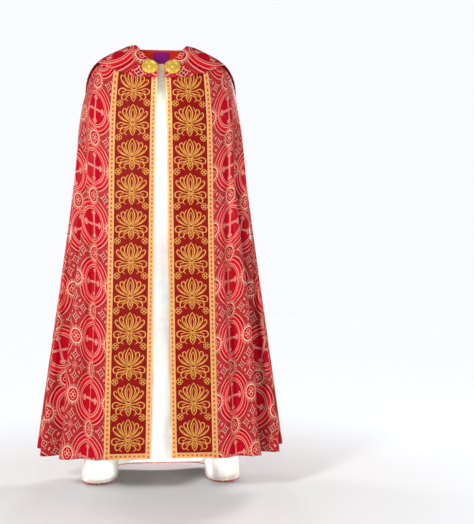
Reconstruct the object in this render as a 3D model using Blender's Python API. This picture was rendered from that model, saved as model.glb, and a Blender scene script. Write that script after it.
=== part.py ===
# A liturgical cope: a wide lined cape of brocade, cut as part of a circle, with straight
# orphreys down both front edges, a shield-shaped hood with a cross and a tassel, and a
# two-disc clasp. It hangs in folds as it does when it is worn, hollow inside. Metres,
# +Z up, the front faces -Y, and +X is the wearer's left. The origin is at the centre of
# the neck opening, at shoulder height.

import math

import bmesh
import bpy
import numpy as np
from mathutils import Vector
from mathutils.bvhtree import BVHTree

# ---------------------------------------------------------------- driving dimensions

SEAM = 0.0003            # clearance between any two pieces
CAPE_WALL = 0.0018       # brocade with its interlining
LINING_WALL = 0.0011
HOOD_WALL = 0.0022
ORPHREY_WALL = 0.0013
GALLOON_WALL = 0.0018

ORPHREY_WIDTH = 0.150    # over both galloons
GALLOON_WIDTH = 0.018
FRONT_GAP_HEM = 0.0325   # from the middle to a front edge, at the hem
FACING_DEPTH = 1.30      # ring steps that the facing covers, down inside the neck
COLLAR_COVER = 2.0       # the ring step where an orphrey starts, under the collar
LINING_RISE = 0.004      # the lining stops this far above the hem

BODY_COLUMNS = 38        # columns of each half, from the back middle to the orphrey
COLUMN_STEP = 0.055      # a straight stretch of hem that counts for one column
COLUMN_TURN = 26         # degrees of bend that count for one more
HOOD_COLUMNS = 19        # columns of each half of the hood
HOOD_ROWS = 11

LABEL_SIZE = (0.058, 0.042)   # width and height
LABEL_WALL = 0.0006
LABEL_DROP = 0.006            # below the neckline, on the facing
LABEL_GRID = (7, 6)           # points across and down
LABEL_REACH = 8               # columns either side of the middle that the label may cover

# The drape from the neck down to the chest, where the cloth still lies smooth on the
# shoulders. Each row is one level ring: half width, depth behind and in front of the
# middle, the height at the side, the back and the front, and half the front gap.
RINGS = (
    # name        width   back    front   side    rear    fore   gap
    ("neckline",  0.0920, 0.0650, 0.1150, 0.0235, 0.0330, -0.0580, 0.0090),
    ("collar",    0.1240, 0.0800, 0.1220, 0.0085, 0.0100, -0.0700, 0.0100),
    ("yoke",      0.1680, 0.0980, 0.1280, -0.0120, -0.0220, -0.0840, 0.0110),
    ("shoulder",  0.2110, 0.1150, 0.1340, -0.0390, -0.0580, -0.1020, 0.0120),
    ("arm",       0.2400, 0.1280, 0.1390, -0.0780, -0.0960, -0.1240, 0.0130),
    ("chest",     0.2610, 0.1360, 0.1430, -0.1520, -0.1520, -0.1520, 0.0145),
)
RING_ROUNDNESS = 2.25    # exponent of the rings' superellipse; 2 is an ellipse
RING_POINTS = 721        # points of the half ring's dense line
NECK_V = 3               # how late the rings fall towards the front; 2 is a plain curve

# The hem's control points for the +X half, from the back middle round to the orphrey,
# with the share of the way round that each one takes at the chest. The curve through
# them is a cubic B-spline, so every fold is round.
HEM = (
    # name             x       y       z      share
    ("back middle",    0.000,  0.192, -1.450, 0.000),
    ("back wave",      0.070,  0.194, -1.451, 0.065),
    ("panel crest",    0.130,  0.216, -1.456, 0.130),
    ("panel edge",     0.180,  0.206, -1.464, 0.175),
    ("deep flank",     0.150,  0.100, -1.468, 0.205),
    ("deep floor",     0.166, -0.036, -1.470, 0.235),
    ("deep floor out", 0.290, -0.040, -1.466, 0.265),
    ("deep return",    0.252,  0.080, -1.435, 0.290),
    ("second crest",   0.196,  0.180, -1.392, 0.315),
    ("second outside", 0.276,  0.192, -1.378, 0.345),
    ("third valley",   0.284,  0.078, -1.366, 0.375),
    ("third return",   0.322,  0.068, -1.354, 0.400),
    ("third crest",    0.318,  0.160, -1.344, 0.430),
    ("third outside",  0.404,  0.146, -1.340, 0.460),
    ("fourth flank",   0.380,  0.068, -1.338, 0.490),
    ("fourth valley",  0.286,  0.056, -1.337, 0.515),
    ("fourth return",  0.280,  0.004, -1.337, 0.540),
    ("side crest",     0.376,  0.022, -1.337, 0.565),
    ("side middle",    0.426, -0.006, -1.337, 0.595),
    ("side outside",   0.414, -0.062, -1.341, 0.625),
    ("fifth valley",   0.310, -0.024, -1.341, 0.650),
    ("fifth return",   0.252, -0.056, -1.341, 0.675),
    ("lobe flank",     0.334, -0.086, -1.342, 0.700),
    ("lobe crest",     0.412, -0.130, -1.344, 0.730),
    ("lobe inside",    0.372, -0.162, -1.344, 0.765),
    ("front valley",   0.268, -0.092, -1.343, 0.800),
    ("front return",   0.196, -0.098, -1.342, 0.825),
    ("front flank",    0.262, -0.142, -1.342, 0.850),
    ("front crest",    0.352, -0.192, -1.342, 0.880),
    ("front rise",     0.290, -0.222, -1.342, 0.910),
    ("soft trough",    0.250, -0.184, -1.342, 0.940),
    ("panel front",    0.214, -0.234, -1.342, 0.970),
    ("orphrey edge",   0.182, -0.222, -1.342, 1.000),
)
HEM_FRONT = (-0.220, -1.342)     # y and z of the hem at the front edge
FOLD_START = 7.0                 # how gently the folds leave the smooth chest
LEAST_SLOPE = -0.02              # least drop over the last ring step, for the run below it
HEM_STEPS = 16                   # points of the hem line for each control row

# Levels of the wall's rows: a whole number is a ring, and 5 to 6 is from chest to hem.
LEVELS = (0.0, 1.0, FACING_DEPTH, 2.0, 3.0, 4.0, 5.0, 5.11, 5.32, 5.62, 5.985, 6.0)

# The hood's edge, from the back middle to the front: how far round the half ring,
# and how far down, as a level up to the chest and in metres below it.
HOOD_EDGE = (
    # share  level  below
    (0.000, 5.00, 0.384),
    (0.040, 5.00, 0.362),
    (0.155, 5.00, 0.272),
    (0.265, 5.00, 0.190),
    (0.315, 5.00, 0.136),
    (0.350, 5.00, 0.092),
    (0.400, 5.00, 0.034),
    (0.435, 5.00, 0.000),
    (0.480, 4.20, 0.000),
    (0.515, 3.40, 0.000),
    (0.560, 3.10, 0.000),
    (0.675, 3.40, 0.000),
    (0.850, 3.50, 0.000),
    (1.000, 3.25, 0.000),
)
HOOD_RING_RUN = 0.32              # the drop that counts as much as all the rings do
HOOD_RISE = 0.25                  # share of a column over which the hood comes clear
HOOD_SPREAD = (0.15, 0.108)       # how the hood widens and deepens per metre of drop
HOOD_LIFT = (0.0050, 0.0064)     # clear of the cape at the chest, and added at the tip
HOOD_CLEAR = 0.0010              # clear of the cape at the neckline
HOOD_FLARE = (0.007, 0.40, 0.10) # stand-off of the side corners, their share, its width

# The cross on the hood, in the plane seen from the back.
CROSS_CENTRE_Z = -0.2325
CROSS_ARM = 0.1940               # from the centre to an arm's end
CROSS_WAIST = 0.0520             # half width where two arms meet
CROSS_END = 0.0645               # half width at an arm's end
CROSS_CURVE = 1.6                # how late an arm widens; 1 is straight
CROSS_GALLOON = 0.0160
ROUNDEL_RING = (0.0605, 0.0695)  # inner and outer radius
ROUNDEL_DISC = 0.0602
CROSS_LIFT = 0.0014              # from the hood's face to the applied pieces
CROSS_WALL = 0.0016
CROSS_GRID = (7, 6)              # points along an arm and across it
ROUNDEL_CLEAR = 3 * SEAM         # from the roundel's ring to the arms
ROUNDEL_SIDES = 32
ROUNDEL_RADII = (1.0, 0.5)       # rings of the disc, as shares of its radius

# The clasp. Its profile runs from the rim to the middle: share of the radius, height,
# and how much of the scallop shows there.
CLASP_X = 0.0375
CLASP_Z = -0.0680
CLASP_RADIUS = 0.0272
CLASP_LOBES = 12
CLASP_SCALLOP = 0.07
CLASP_STANDOFF = 0.0004
CLASP_PROFILE = (
    (1.00, 0.0000, 1.0),
    (0.98, 0.0022, 1.0),
    (0.84, 0.0030, 0.6),
    (0.48, 0.0042, 0.0),
    (0.26, 0.0068, 0.0),
)
WIRE = 0.0011                    # radius of the hook's and the eye's wire
EYE_HALF = 0.0030                # from the eye's middle to its legs
EYE_END = -0.0035                # x of the eye's closed end
EYE_STEPS = 7                    # points round the eye's bend
HOOK_PATH = (
    # x      y from the eye
    (-0.0085, 0.0000),
    (-0.0065, -0.0020),
    (-0.0035, -0.0030),
    (-0.0007, -0.0020),
    (0.0001, 0.0004),
    (-0.0007, 0.0026),
)
CHAIN_X = 0.0027
CHAIN_LINKS = 5
CHAIN_LENGTH = 0.078
CHAIN_WIRE = 0.0009
CHAIN_BEND = (-30, 270, 11)      # degrees where a link's upper bend starts and ends, points

# The tassel, hung from the hood's tip.
TASSEL_TOP = 0.013               # from the tip to the head's top
TASSEL_HEAD = (0.0058, 0.015)    # radius and height
TASSEL_LENGTH = 0.118            # from the tip to the foot
TASSEL_SKIRT = (0.0150, 0.0075)  # half width and half depth of the foot
TASSEL_CLEAR = 0.0030            # from the cape to the head and the skirt
CORD = 0.0011
CORD_LOOP = 0.0034               # half width of the cord loop
STRAND_RINGS = ((5, 0.24), (11, 0.60), (20, 0.98))   # strands, and share of the skirt
STRAND_ROOT = 0.0042
STRAND_SIZE = 0.0011
STRAND_STATIONS = (0.0, 0.25, 0.6, 1.0)
STRAND_SPREAD = 0.8              # how early the skirt widens; 1 is a cone
STRAND_TAPER = 0.55              # share of a strand's size at its root
STRAND_UNEVEN = (0.0016, 2.4)    # how uneven the feet are, and radians from one to the next
HEAD_ROOT = 0.72                 # share down the head where the strands start

COLOURS = {
    # name         colour                 roughness metallic
    "brocade":    ((0.62, 0.02, 0.05, 1), 0.50, 0.0),
    "lining":     ((0.84, 0.80, 0.73, 1), 0.60, 0.0),
    "facing":     ((0.80, 0.06, 0.02, 1), 0.55, 0.0),
    "label":      ((0.33, 0.04, 0.25, 1), 0.60, 0.0),
    "velvet":     ((0.36, 0.00, 0.01, 1), 0.70, 0.0),
    "galloon":    ((0.90, 0.62, 0.27, 1), 0.45, 0.0),
    "silk":       ((0.80, 0.42, 0.06, 1), 0.45, 0.0),
    "gold":       ((0.83, 0.60, 0.25, 1), 0.30, 1.0),
}


# ---------------------------------------------------------------- the drape

def b_spline(rows, steps):
    """Points on the cubic B-spline of the control rows, starting mirrored at x = 0."""
    rows = np.array(rows, float)
    before = rows[1] * np.array((-1.0, 1.0, 1.0, -1.0))
    after = rows[-1] + (rows[-1] - rows[-2])
    rows = np.vstack((before, rows, after))
    points = []
    for a, b, c, d in zip(rows[:-3], rows[1:-2], rows[2:-1], rows[3:]):
        for step in range(steps):
            t = step / steps
            points.append((a * (1 - t) ** 3 + b * (3 * t ** 3 - 6 * t * t + 4)
                           + c * (1 + 3 * t + 3 * t * t - 3 * t ** 3) + d * t ** 3) / 6)
    points.append((rows[-3] + 4 * rows[-2] + rows[-1]) / 6)
    return np.array(points)


def lengths_along(points):
    """Distance along a polyline at each of its points."""
    steps = np.linalg.norm(np.diff(points, axis=0), axis=1)
    return np.concatenate(((0.0,), np.cumsum(steps)))


def ring_line(ring):
    """Dense points of one ring's +X half, from the back middle to the front gap."""
    width, back, front, side_z, rear_z, fore_z, gap = ring[1:]
    points = []
    power = 2 / RING_ROUNDNESS
    for angle in np.linspace(0, math.pi, RING_POINTS):
        x = width * math.sin(angle) ** power
        turn = math.cos(angle)
        depth = back if turn > 0 else front
        end_z = rear_z if turn > 0 else fore_z
        y = math.copysign(depth * abs(turn) ** power, turn)
        if turn < 0 and x < gap:
            break
        bend = 2 if turn > 0 else NECK_V
        points.append((x, y, side_z + (end_z - side_z) * abs(turn) ** bend))
    return np.array(points)


RING_LINES = [ring_line(ring) for ring in RINGS]
RING_LENGTHS = [lengths_along(line) for line in RING_LINES]
YOKE_LENGTH = RING_LENGTHS[2][-1]
HEM_LINE = b_spline([row[1:] for row in HEM], HEM_STEPS)


def on_ring(ring, share):
    """Point on a ring at a share of its length."""
    lengths = RING_LENGTHS[ring]
    at = share * lengths[-1]
    return np.array([np.interp(at, lengths, RING_LINES[ring][:, k]) for k in range(3)])


def strip_share(ring, inset):
    """Share of a ring that lies the inset short of the front edge."""
    return 1 - inset / max(RING_LENGTHS[ring][-1], YOKE_LENGTH)


def front_column(inset):
    """Column in the orphrey, a constant inset from the front edge."""
    rings = [on_ring(r, strip_share(r, inset)) for r in range(len(RINGS))]
    start = HEM_LINE[-1, :3]
    end = np.array((FRONT_GAP_HEM, *HEM_FRONT))
    return rings, end + (start - end) * inset / ORPHREY_WIDTH


def body_column(place):
    """Column behind the orphrey, at a place along the hem line's points."""
    index = np.arange(len(HEM_LINE))
    x, y, z, share = (np.interp(place, index, HEM_LINE[:, k]) for k in range(4))
    share /= HEM_LINE[-1, 3]
    rings = [on_ring(r, share * strip_share(r, ORPHREY_WIDTH)) for r in range(len(RINGS))]
    return rings, np.array((x, y, z))


def column_point(column, level):
    """Point of a column at a level: through the rings, then down to the hem."""
    rings, hem = column
    last = len(rings) - 1
    if level <= last:
        first = min(int(level), last - 1)
        t = level - first
        ends = [rings[0] * 2 - rings[1], *rings, rings[-1] * 2 - rings[-2]]
        a, b, c, d = ends[first:first + 4]
        return 0.5 * (2 * b + (c - a) * t + (2 * a - 5 * b + 4 * c - d) * t * t
                      + (3 * b - a - 3 * c + d) * t ** 3)
    down = level - last
    run = hem - rings[-1]
    slope = rings[-1] - rings[-2]
    slope *= run[2] / min(slope[2], LEAST_SLOPE)
    return rings[-1] + run * down + (slope - run) * down * (1 - down) ** FOLD_START


def body_places(count):
    """Places along the hem line, closer together where it bends."""
    flat = HEM_LINE[:, :2]
    steps = np.diff(flat, axis=0)
    turn = np.unwrap(np.arctan2(steps[:, 1], steps[:, 0]))
    weight = np.linalg.norm(steps, axis=1) / COLUMN_STEP
    weight[1:] += np.abs(np.diff(turn)) / math.radians(COLUMN_TURN)
    total = np.concatenate(((0.0,), np.cumsum(weight)))
    return np.interp(np.linspace(0, total[-1], count + 1), total, np.arange(len(total)))


def strip_insets():
    """Insets of the columns inside an orphrey, from its outer edge to the front edge."""
    field = ORPHREY_WIDTH - 2 * GALLOON_WIDTH
    inner = [GALLOON_WIDTH + field * part / 3 for part in (3, 2, 1, 0)]
    return [*inner, 0.0]


def mirrored(points):
    return points * np.array((-1.0, 1.0, 1.0))


def half_columns():
    """Columns of the +X half, from the back middle to the front edge."""
    body = [body_column(place) for place in body_places(BODY_COLUMNS)]
    return body + [front_column(inset) for inset in strip_insets()]


def normals_of(grid):
    """Outward unit normals of a grid of points, rows down and columns round."""
    down = np.gradient(grid, axis=0)
    round_ = np.gradient(grid, axis=1)
    normal = np.cross(round_, down)
    return normal / np.linalg.norm(normal, axis=2, keepdims=True)


HALF = half_columns()
HALF_GRID = np.array([[column_point(column, level) for column in HALF] for level in LEVELS])
# The whole cape runs from the -X front edge round the back to the +X front edge.
CAPE_GRID = np.concatenate((mirrored(HALF_GRID[:, :0:-1]), HALF_GRID), axis=1)
CAPE_NORMALS = normals_of(CAPE_GRID)


# ---------------------------------------------------------------- making solids

def material(name):
    """The named material, made once."""
    found = bpy.data.materials.get(name)
    if found:
        return found
    colour, roughness, metallic = COLOURS[name]
    made = bpy.data.materials.new(name)
    made.use_nodes = True
    made.diffuse_color = colour
    shader = made.node_tree.nodes["Principled BSDF"]
    shader.inputs["Base Color"].default_value = colour
    shader.inputs["Roughness"].default_value = roughness
    shader.inputs["Metallic"].default_value = metallic
    return made


def add_object(name, mesh, colour, collection, angle=40):
    """Link a mesh as a named object with its own material."""
    mesh.shade_smooth()
    mesh.set_sharp_from_angle(angle=math.radians(angle))
    mesh.materials.append(material(colour))
    made = bpy.data.objects.new(name, mesh)
    collection.objects.link(made)
    return made


def sheet(name, outer, inner, colour, collection, closed=False):
    """A closed wall between two grids of points, as a named object."""
    rows, columns = outer.shape[:2]
    mesh = bpy.data.meshes.new(name)
    vertices = np.concatenate((outer.reshape(-1, 3), inner.reshape(-1, 3)))
    across = columns if closed else columns - 1
    faces = []

    def place(row, column, side):
        return side * rows * columns + row * columns + column % columns

    for row in range(rows - 1):
        for column in range(across):
            a, b = place(row, column, 0), place(row, column + 1, 0)
            c, d = place(row + 1, column + 1, 0), place(row + 1, column, 0)
            faces += [(a, d, c), (a, c, b)]
            back = rows * columns
            faces += [(a + back, c + back, d + back), (a + back, b + back, c + back)]
    for column in range(across):
        for row, flip in ((0, False), (rows - 1, True)):
            rim = [place(row, column, 0), place(row, column + 1, 0),
                   place(row, column + 1, 1), place(row, column, 1)]
            faces.append(tuple(rim[::-1] if flip else rim))
    if not closed:
        for row in range(rows - 1):
            for column, flip in ((0, True), (columns - 1, False)):
                rim = [place(row, column, 0), place(row + 1, column, 0),
                       place(row + 1, column, 1), place(row, column, 1)]
                faces.append(tuple(rim[::-1] if flip else rim))
    mesh.from_pydata([tuple(v) for v in vertices], [], faces)
    face_out(mesh)
    return add_object(name, mesh, colour, collection)


def face_out(mesh):
    """Turn every face of a closed mesh outwards."""
    shape = bmesh.new()
    shape.from_mesh(mesh)
    bmesh.ops.recalc_face_normals(shape, faces=shape.faces)
    shape.to_mesh(mesh)
    shape.free()


def tube(name, points, radius, colour, collection, cyclic=False):
    """A round wire through the points."""
    curve = bpy.data.curves.new(name, "CURVE")
    curve.dimensions = "3D"
    curve.bevel_depth = radius
    curve.bevel_resolution = 1
    curve.use_fill_caps = True
    spline = curve.splines.new("POLY")
    spline.points.add(len(points) - 1)
    for point, place in zip(spline.points, points):
        point.co = (*place, 1.0)
    spline.use_cyclic_u = cyclic
    curve.materials.append(material(colour))
    made = bpy.data.objects.new(name, curve)
    collection.objects.link(made)
    return made


# ---------------------------------------------------------------- cape and its trims

def make_cape(collection):
    outer = CAPE_GRID
    inner = outer - CAPE_NORMALS * CAPE_WALL
    return sheet("cape", outer, inner, "brocade", collection)


def make_lining(collection):
    """The lining and, above it, the facing strip round the inside of the neck."""
    top = CAPE_WALL + SEAM
    skin = CAPE_GRID - CAPE_NORMALS * top
    under = CAPE_GRID - CAPE_NORMALS * (top + LINING_WALL)
    rise = LINING_RISE / (LEVELS[-1] - LEVELS[-2]) / (RINGS[-1][4] - HEM[0][3])
    for grid in (skin, under):
        grid[-1] += (grid[-2] - grid[-1]) * rise
    seam = LEVELS.index(FACING_DEPTH)
    facing_skin, facing_under = skin[:seam + 1].copy(), under[:seam + 1].copy()
    for grid in (facing_skin, facing_under):
        step = grid[0] - grid[1]
        grid[-1] += step / np.linalg.norm(step, axis=1, keepdims=True) * SEAM
    sheet("lining", skin[seam:], under[seam:], "lining", collection)
    sheet("neck_facing", facing_skin, facing_under, "facing", collection)


def strip_grid(insets, rows, side, lift):
    """Points over the front of the cape, at the insets, moved out by the lift."""
    columns = [front_column(inset) for inset in insets]
    grid = np.array([[column_point(column, level) for column in columns] for level in rows])
    known = np.array([ORPHREY_WIDTH, *strip_insets()])
    chosen = [LEVELS.index(level) for level in rows]
    for number, inset in enumerate(insets):
        column = np.argmin(np.abs(known - inset)) - len(known)
        grid[:, number] += CAPE_NORMALS[chosen, column] * lift
    return grid if side > 0 else mirrored(grid)[:, ::-1]


def trim(name, insets, rows, side, wall, colour, collection, foot=0.0, head=0.0):
    """A strip sewn on the front of the cape, shortened by the foot and head lengths."""
    outer = strip_grid(insets, rows, side, SEAM + wall)
    inner = strip_grid(insets, rows, side, SEAM)
    for grid in (outer, inner):
        for end, step, cut in ((-1, -2, foot), (0, 1, head)):
            run = grid[step] - grid[end]
            grid[end] += run / np.linalg.norm(run, axis=1, keepdims=True) * cut
    return sheet(name, outer, inner, colour, collection)


def make_orphreys(collection):
    """Each orphrey: the field, its two galloons and the galloon along the hem."""
    rows = [level for level in LEVELS if level >= COLLAR_COVER]
    edge = strip_insets()
    half = SEAM / 2
    field = [edge[0] - half, *edge[1:3], edge[3] + half]
    body = rows[:-1]
    hem = rows[-2:]
    for side, hand in ((1, "left"), (-1, "right")):
        trim(f"orphrey_{hand}", field, body, side, ORPHREY_WALL, "velvet", collection, foot=SEAM)
        trim(f"galloon_hem_{hand}", field, hem, side, GALLOON_WALL, "galloon", collection)
        trim(f"galloon_outer_{hand}", [ORPHREY_WIDTH, edge[0] + half], rows, side,
             GALLOON_WALL, "galloon", collection)
        trim(f"galloon_inner_{hand}", [edge[3] - half, 0.0], rows, side,
             GALLOON_WALL, "galloon", collection)


def make_label(collection):
    """A plain woven label on the facing, inside the back of the neck."""
    width, height = LABEL_SIZE
    middle = CAPE_GRID.shape[1] // 2
    depth = CAPE_WALL + LINING_WALL + 2 * SEAM
    line = CAPE_GRID[:, middle]
    down = lengths_along(line)
    outer, inner = [], []
    for part in np.linspace(0, 1, LABEL_GRID[1]):
        row = np.interp(LABEL_DROP + height * part, down, np.arange(len(line)))
        outer.append(label_row(row, width, depth))
        inner.append(label_row(row, width, depth + LABEL_WALL))
    return sheet("label", np.array(outer), np.array(inner), "label", collection)


def label_row(row, width, depth):
    """Points across the label on one row of the cape's inside."""
    first = int(row)
    t = row - first
    line = CAPE_GRID[first] * (1 - t) + CAPE_GRID[first + 1] * t
    normal = CAPE_NORMALS[first] * (1 - t) + CAPE_NORMALS[first + 1] * t
    line = line - normal * depth
    middle = line.shape[0] // 2
    near = slice(middle - LABEL_REACH, middle + LABEL_REACH + 1)
    return np.array([[x, *(np.interp(x, line[near, 0], line[near, k]) for k in (1, 2))]
                     for x in np.linspace(-width / 2, width / 2, LABEL_GRID[0])])


# ---------------------------------------------------------------- the hood

def hood_point(share, level, below):
    """Point under the hood: on the smooth rings, then hanging below the chest."""
    rings = [on_ring(r, share) for r in range(len(RINGS))]
    point = column_point((rings, rings[-1] + np.array((0.0, 0.0, -1.0))), level)
    width, back = RINGS[-1][1:3]
    spread = np.array((HOOD_SPREAD[0] * point[0] / width, HOOD_SPREAD[1] * point[1] / back, -1.0))
    return point + spread * below


def hood_edge(share):
    """The hood's lower edge at a share of the way round, as a level and a drop."""
    table = np.array(HOOD_EDGE)
    return (np.interp(share, table[:, 0], table[:, 1]),
            np.interp(share, table[:, 0], table[:, 2]))


def hood_grid(columns, rows):
    """Grid of the cloth under the hood, from the -X front edge round to the +X one."""
    half = []
    chest = len(RINGS) - 1
    for share in np.linspace(0, 1, columns + 1):
        level, below = hood_edge(share)
        length = level / chest + below / HOOD_RING_RUN
        line = []
        for part in np.linspace(0, 1, rows + 1):
            at = part * length
            line.append(hood_point(share, min(at, level / chest) * chest,
                                   max(0.0, at - level / chest) * HOOD_RING_RUN))
        half.append(line)
    half = np.array(half).transpose(1, 0, 2)
    return np.concatenate((mirrored(half[:, :0:-1]), half), axis=1)


def hood_lift(grid):
    """How far the hood's inside stands off the smooth form, row by row."""
    rows, columns = grid.shape[:2]
    drop = np.clip((RINGS[-1][4] - grid[:, :, 2]) / HOOD_EDGE[0][2], 0, 1)
    down = np.linspace(0, 1, rows)[:, None] * np.ones((1, columns))
    rise = np.clip(down / HOOD_RISE, 0, 1)
    share = np.abs(np.linspace(-1, 1, columns))
    height, middle, width = HOOD_FLARE
    corner = np.exp(-((share - middle) / width) ** 2)[None, :] * down ** 2
    return HOOD_CLEAR + HOOD_LIFT[0] * rise + HOOD_LIFT[1] * drop + height * corner


def make_hood(collection):
    grid = hood_grid(HOOD_COLUMNS, HOOD_ROWS)
    normal = normals_of(grid)
    lift = hood_lift(grid)[:, :, None]
    inner = grid + normal * lift
    outer = inner + normal * HOOD_WALL
    sheet("hood", outer, inner, "brocade", collection)
    return outer


def surface_tree(grid):
    """Search tree over a grid's triangles."""
    rows, columns = grid.shape[:2]
    faces = []
    for row in range(rows - 1):
        for column in range(columns - 1):
            a = row * columns + column
            faces += [(a, a + columns, a + columns + 1), (a, a + columns + 1, a + 1)]
    return BVHTree.FromPolygons([Vector(v) for v in grid.reshape(-1, 3)], faces)


def cast(tree, x, z, side):
    """Point and normal where a line along Y meets the surface, from the given side."""
    hit, normal, _, _ = tree.ray_cast(Vector((x, side, z)), Vector((0, -side, 0)))
    return np.array(hit), np.array(normal) * (1 if normal[1] * side > 0 else -1)


def applied(name, flat, tree, lift, wall, colour, collection, closed=False):
    """A flat grid of (x, z) points laid on the back of the hood as a wall."""
    rows, columns = flat.shape[:2]
    outer, inner = np.zeros((rows, columns, 3)), np.zeros((rows, columns, 3))
    for row in range(rows):
        for column in range(columns):
            point, normal = cast(tree, *flat[row, column], 1.0)
            inner[row, column] = point + normal * lift
            outer[row, column] = point + normal * (lift + wall)
    return sheet(name, outer, inner, colour, collection, closed)


def arm_half_width(along):
    """Half width of a cross arm at a distance from the centre."""
    part = (along - CROSS_WAIST) / (CROSS_ARM - CROSS_WAIST)
    return CROSS_WAIST + (CROSS_END - CROSS_WAIST) * max(0.0, part) ** CROSS_CURVE


def turned(points, quarter):
    """Flat points turned by quarter turns and moved to the cross's centre."""
    angle = quarter * math.pi / 2
    turn = np.array(((math.cos(angle), -math.sin(angle)), (math.sin(angle), math.cos(angle))))
    return points @ turn.T + np.array((0.0, CROSS_CENTRE_Z))


def arm_field(quarter):
    """Flat points of one arm's field, from its end down to the ring."""
    reach = ROUNDEL_RING[1] + ROUNDEL_CLEAR
    end = CROSS_ARM - CROSS_GALLOON - SEAM
    rows = []
    for part in np.linspace(0.0, 1.0, CROSS_GRID[0]):
        row = []
        for across in np.linspace(-1, 1, CROSS_GRID[1]):
            foot = (arm_half_width(reach) - CROSS_GALLOON - SEAM) * across
            along = end + (math.sqrt(reach ** 2 - foot ** 2) - end) * part
            half = arm_half_width(along) - CROSS_GALLOON - SEAM
            row.append((half * across, along))
        rows.append(row)
    return turned(np.array(rows), quarter)


def arm_edge(quarter):
    """Flat outer and inner points of the galloon round one arm, corner to corner."""
    reach = ROUNDEL_RING[1] + ROUNDEL_CLEAR
    end = CROSS_ARM - CROSS_GALLOON
    corner = (CROSS_WAIST, CROSS_WAIST)
    flank = [(corner, (reach / math.sqrt(2),) * 2)]
    for along in np.linspace(CROSS_WAIST, CROSS_ARM, CROSS_GRID[0] + 1)[1:]:
        inside = min(along, end)
        flank.append(((arm_half_width(along), along),
                      (arm_half_width(inside) - CROSS_GALLOON, inside)))
    inner_end = arm_half_width(end) - CROSS_GALLOON
    across = [((CROSS_END * x, CROSS_ARM), (inner_end * x, end))
              for x in np.linspace(1, -1, CROSS_GRID[1])[1:-1]]
    other = [((-a[0], a[1]), (-b[0], b[1])) for a, b in flank[:0:-1]]
    return turned(np.array(flank + across + other), quarter)


def make_cross(tree, collection):
    """Four arm fields, the galloon round them, and the roundel in the middle."""
    for quarter, arm in enumerate(("top", "right", "bottom", "left")):
        applied(f"cross_field_{arm}", arm_field(quarter), tree, CROSS_LIFT, CROSS_WALL,
                "velvet", collection)
    loop = np.concatenate([arm_edge(quarter) for quarter in range(4)]).transpose(1, 0, 2)
    applied("cross_galloon", loop, tree, CROSS_LIFT, GALLOON_WALL, "galloon", collection,
            closed=True)
    centre = np.array((0.0, CROSS_CENTRE_Z))
    turn = np.linspace(0, 2 * math.pi, ROUNDEL_SIDES + 1)[:-1]
    circle = np.stack((np.cos(turn), np.sin(turn)), axis=1)
    ring = np.array([centre + circle * radius for radius in ROUNDEL_RING[::-1]])
    applied("roundel_ring", ring, tree, CROSS_LIFT, GALLOON_WALL, "silk", collection,
            closed=True)
    make_roundel_disc(tree, circle, centre, collection)


def make_roundel_disc(tree, circle, centre, collection):
    """The round field inside the ring, as a fan of rings closed by a middle point."""
    mesh = bpy.data.meshes.new("roundel_disc")
    shape = bmesh.new()
    layers = []
    for lift in (CROSS_LIFT + CROSS_WALL, CROSS_LIFT):
        rings = []
        for part in ROUNDEL_RADII:
            ring = []
            for x, z in centre + circle * (ROUNDEL_DISC - SEAM) * part:
                point, normal = cast(tree, x, z, 1.0)
                ring.append(shape.verts.new(point + normal * lift))
            rings.append(ring)
        point, normal = cast(tree, *centre, 1.0)
        layers.append((rings, shape.verts.new(point + normal * lift)))
    count = len(circle)
    for (rings, middle), flip in zip(layers, (False, True)):
        for k in range(count):
            n = (k + 1) % count
            for outer, inner in zip(rings[:-1], rings[1:]):
                face = (outer[k], inner[k], inner[n], outer[n])
                shape.faces.new(face if flip else face[::-1])
            face = (rings[-1][k], middle, rings[-1][n])
            shape.faces.new(face if flip else face[::-1])
    for k in range(count):
        n = (k + 1) % count
        top, low = layers[0][0][0], layers[1][0][0]
        shape.faces.new((top[k], top[n], low[n], low[k]))
    bmesh.ops.recalc_face_normals(shape, faces=shape.faces)
    shape.to_mesh(mesh)
    shape.free()
    return add_object("roundel_disc", mesh, "velvet", collection)


# ---------------------------------------------------------------- clasp and chain

def make_clasp(tree, collection):
    """Two scalloped discs on the collar, the hook and eye between them, and the chain."""
    rims = {}
    for side, hand in ((1, "left"), (-1, "right")):
        point, normal = cast(tree, side * CLASP_X, CLASP_Z, -1.0)
        rims[hand] = make_disc(f"clasp_{hand}", Vector(point), Vector(normal), collection)
    rim = rims["left"]
    end = rim.x
    eye = [(end, rim.y, rim.z + EYE_HALF)]
    for turn in np.linspace(math.pi / 2, 3 * math.pi / 2, EYE_STEPS):
        eye.append((EYE_END + EYE_HALF * (1 + math.cos(turn)), rim.y,
                    rim.z + EYE_HALF * math.sin(turn)))
    eye.append((end, rim.y, rim.z - EYE_HALF))
    tube("clasp_eye", eye, WIRE, "gold", collection)
    hook = [(-end, rim.y, rim.z)]
    hook += [(x, rim.y + out, rim.z) for x, out in HOOK_PATH]
    tube("clasp_hook", hook, WIRE, "gold", collection)
    make_chain((CHAIN_X, rim.y, rim.z - EYE_HALF), collection)


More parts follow.
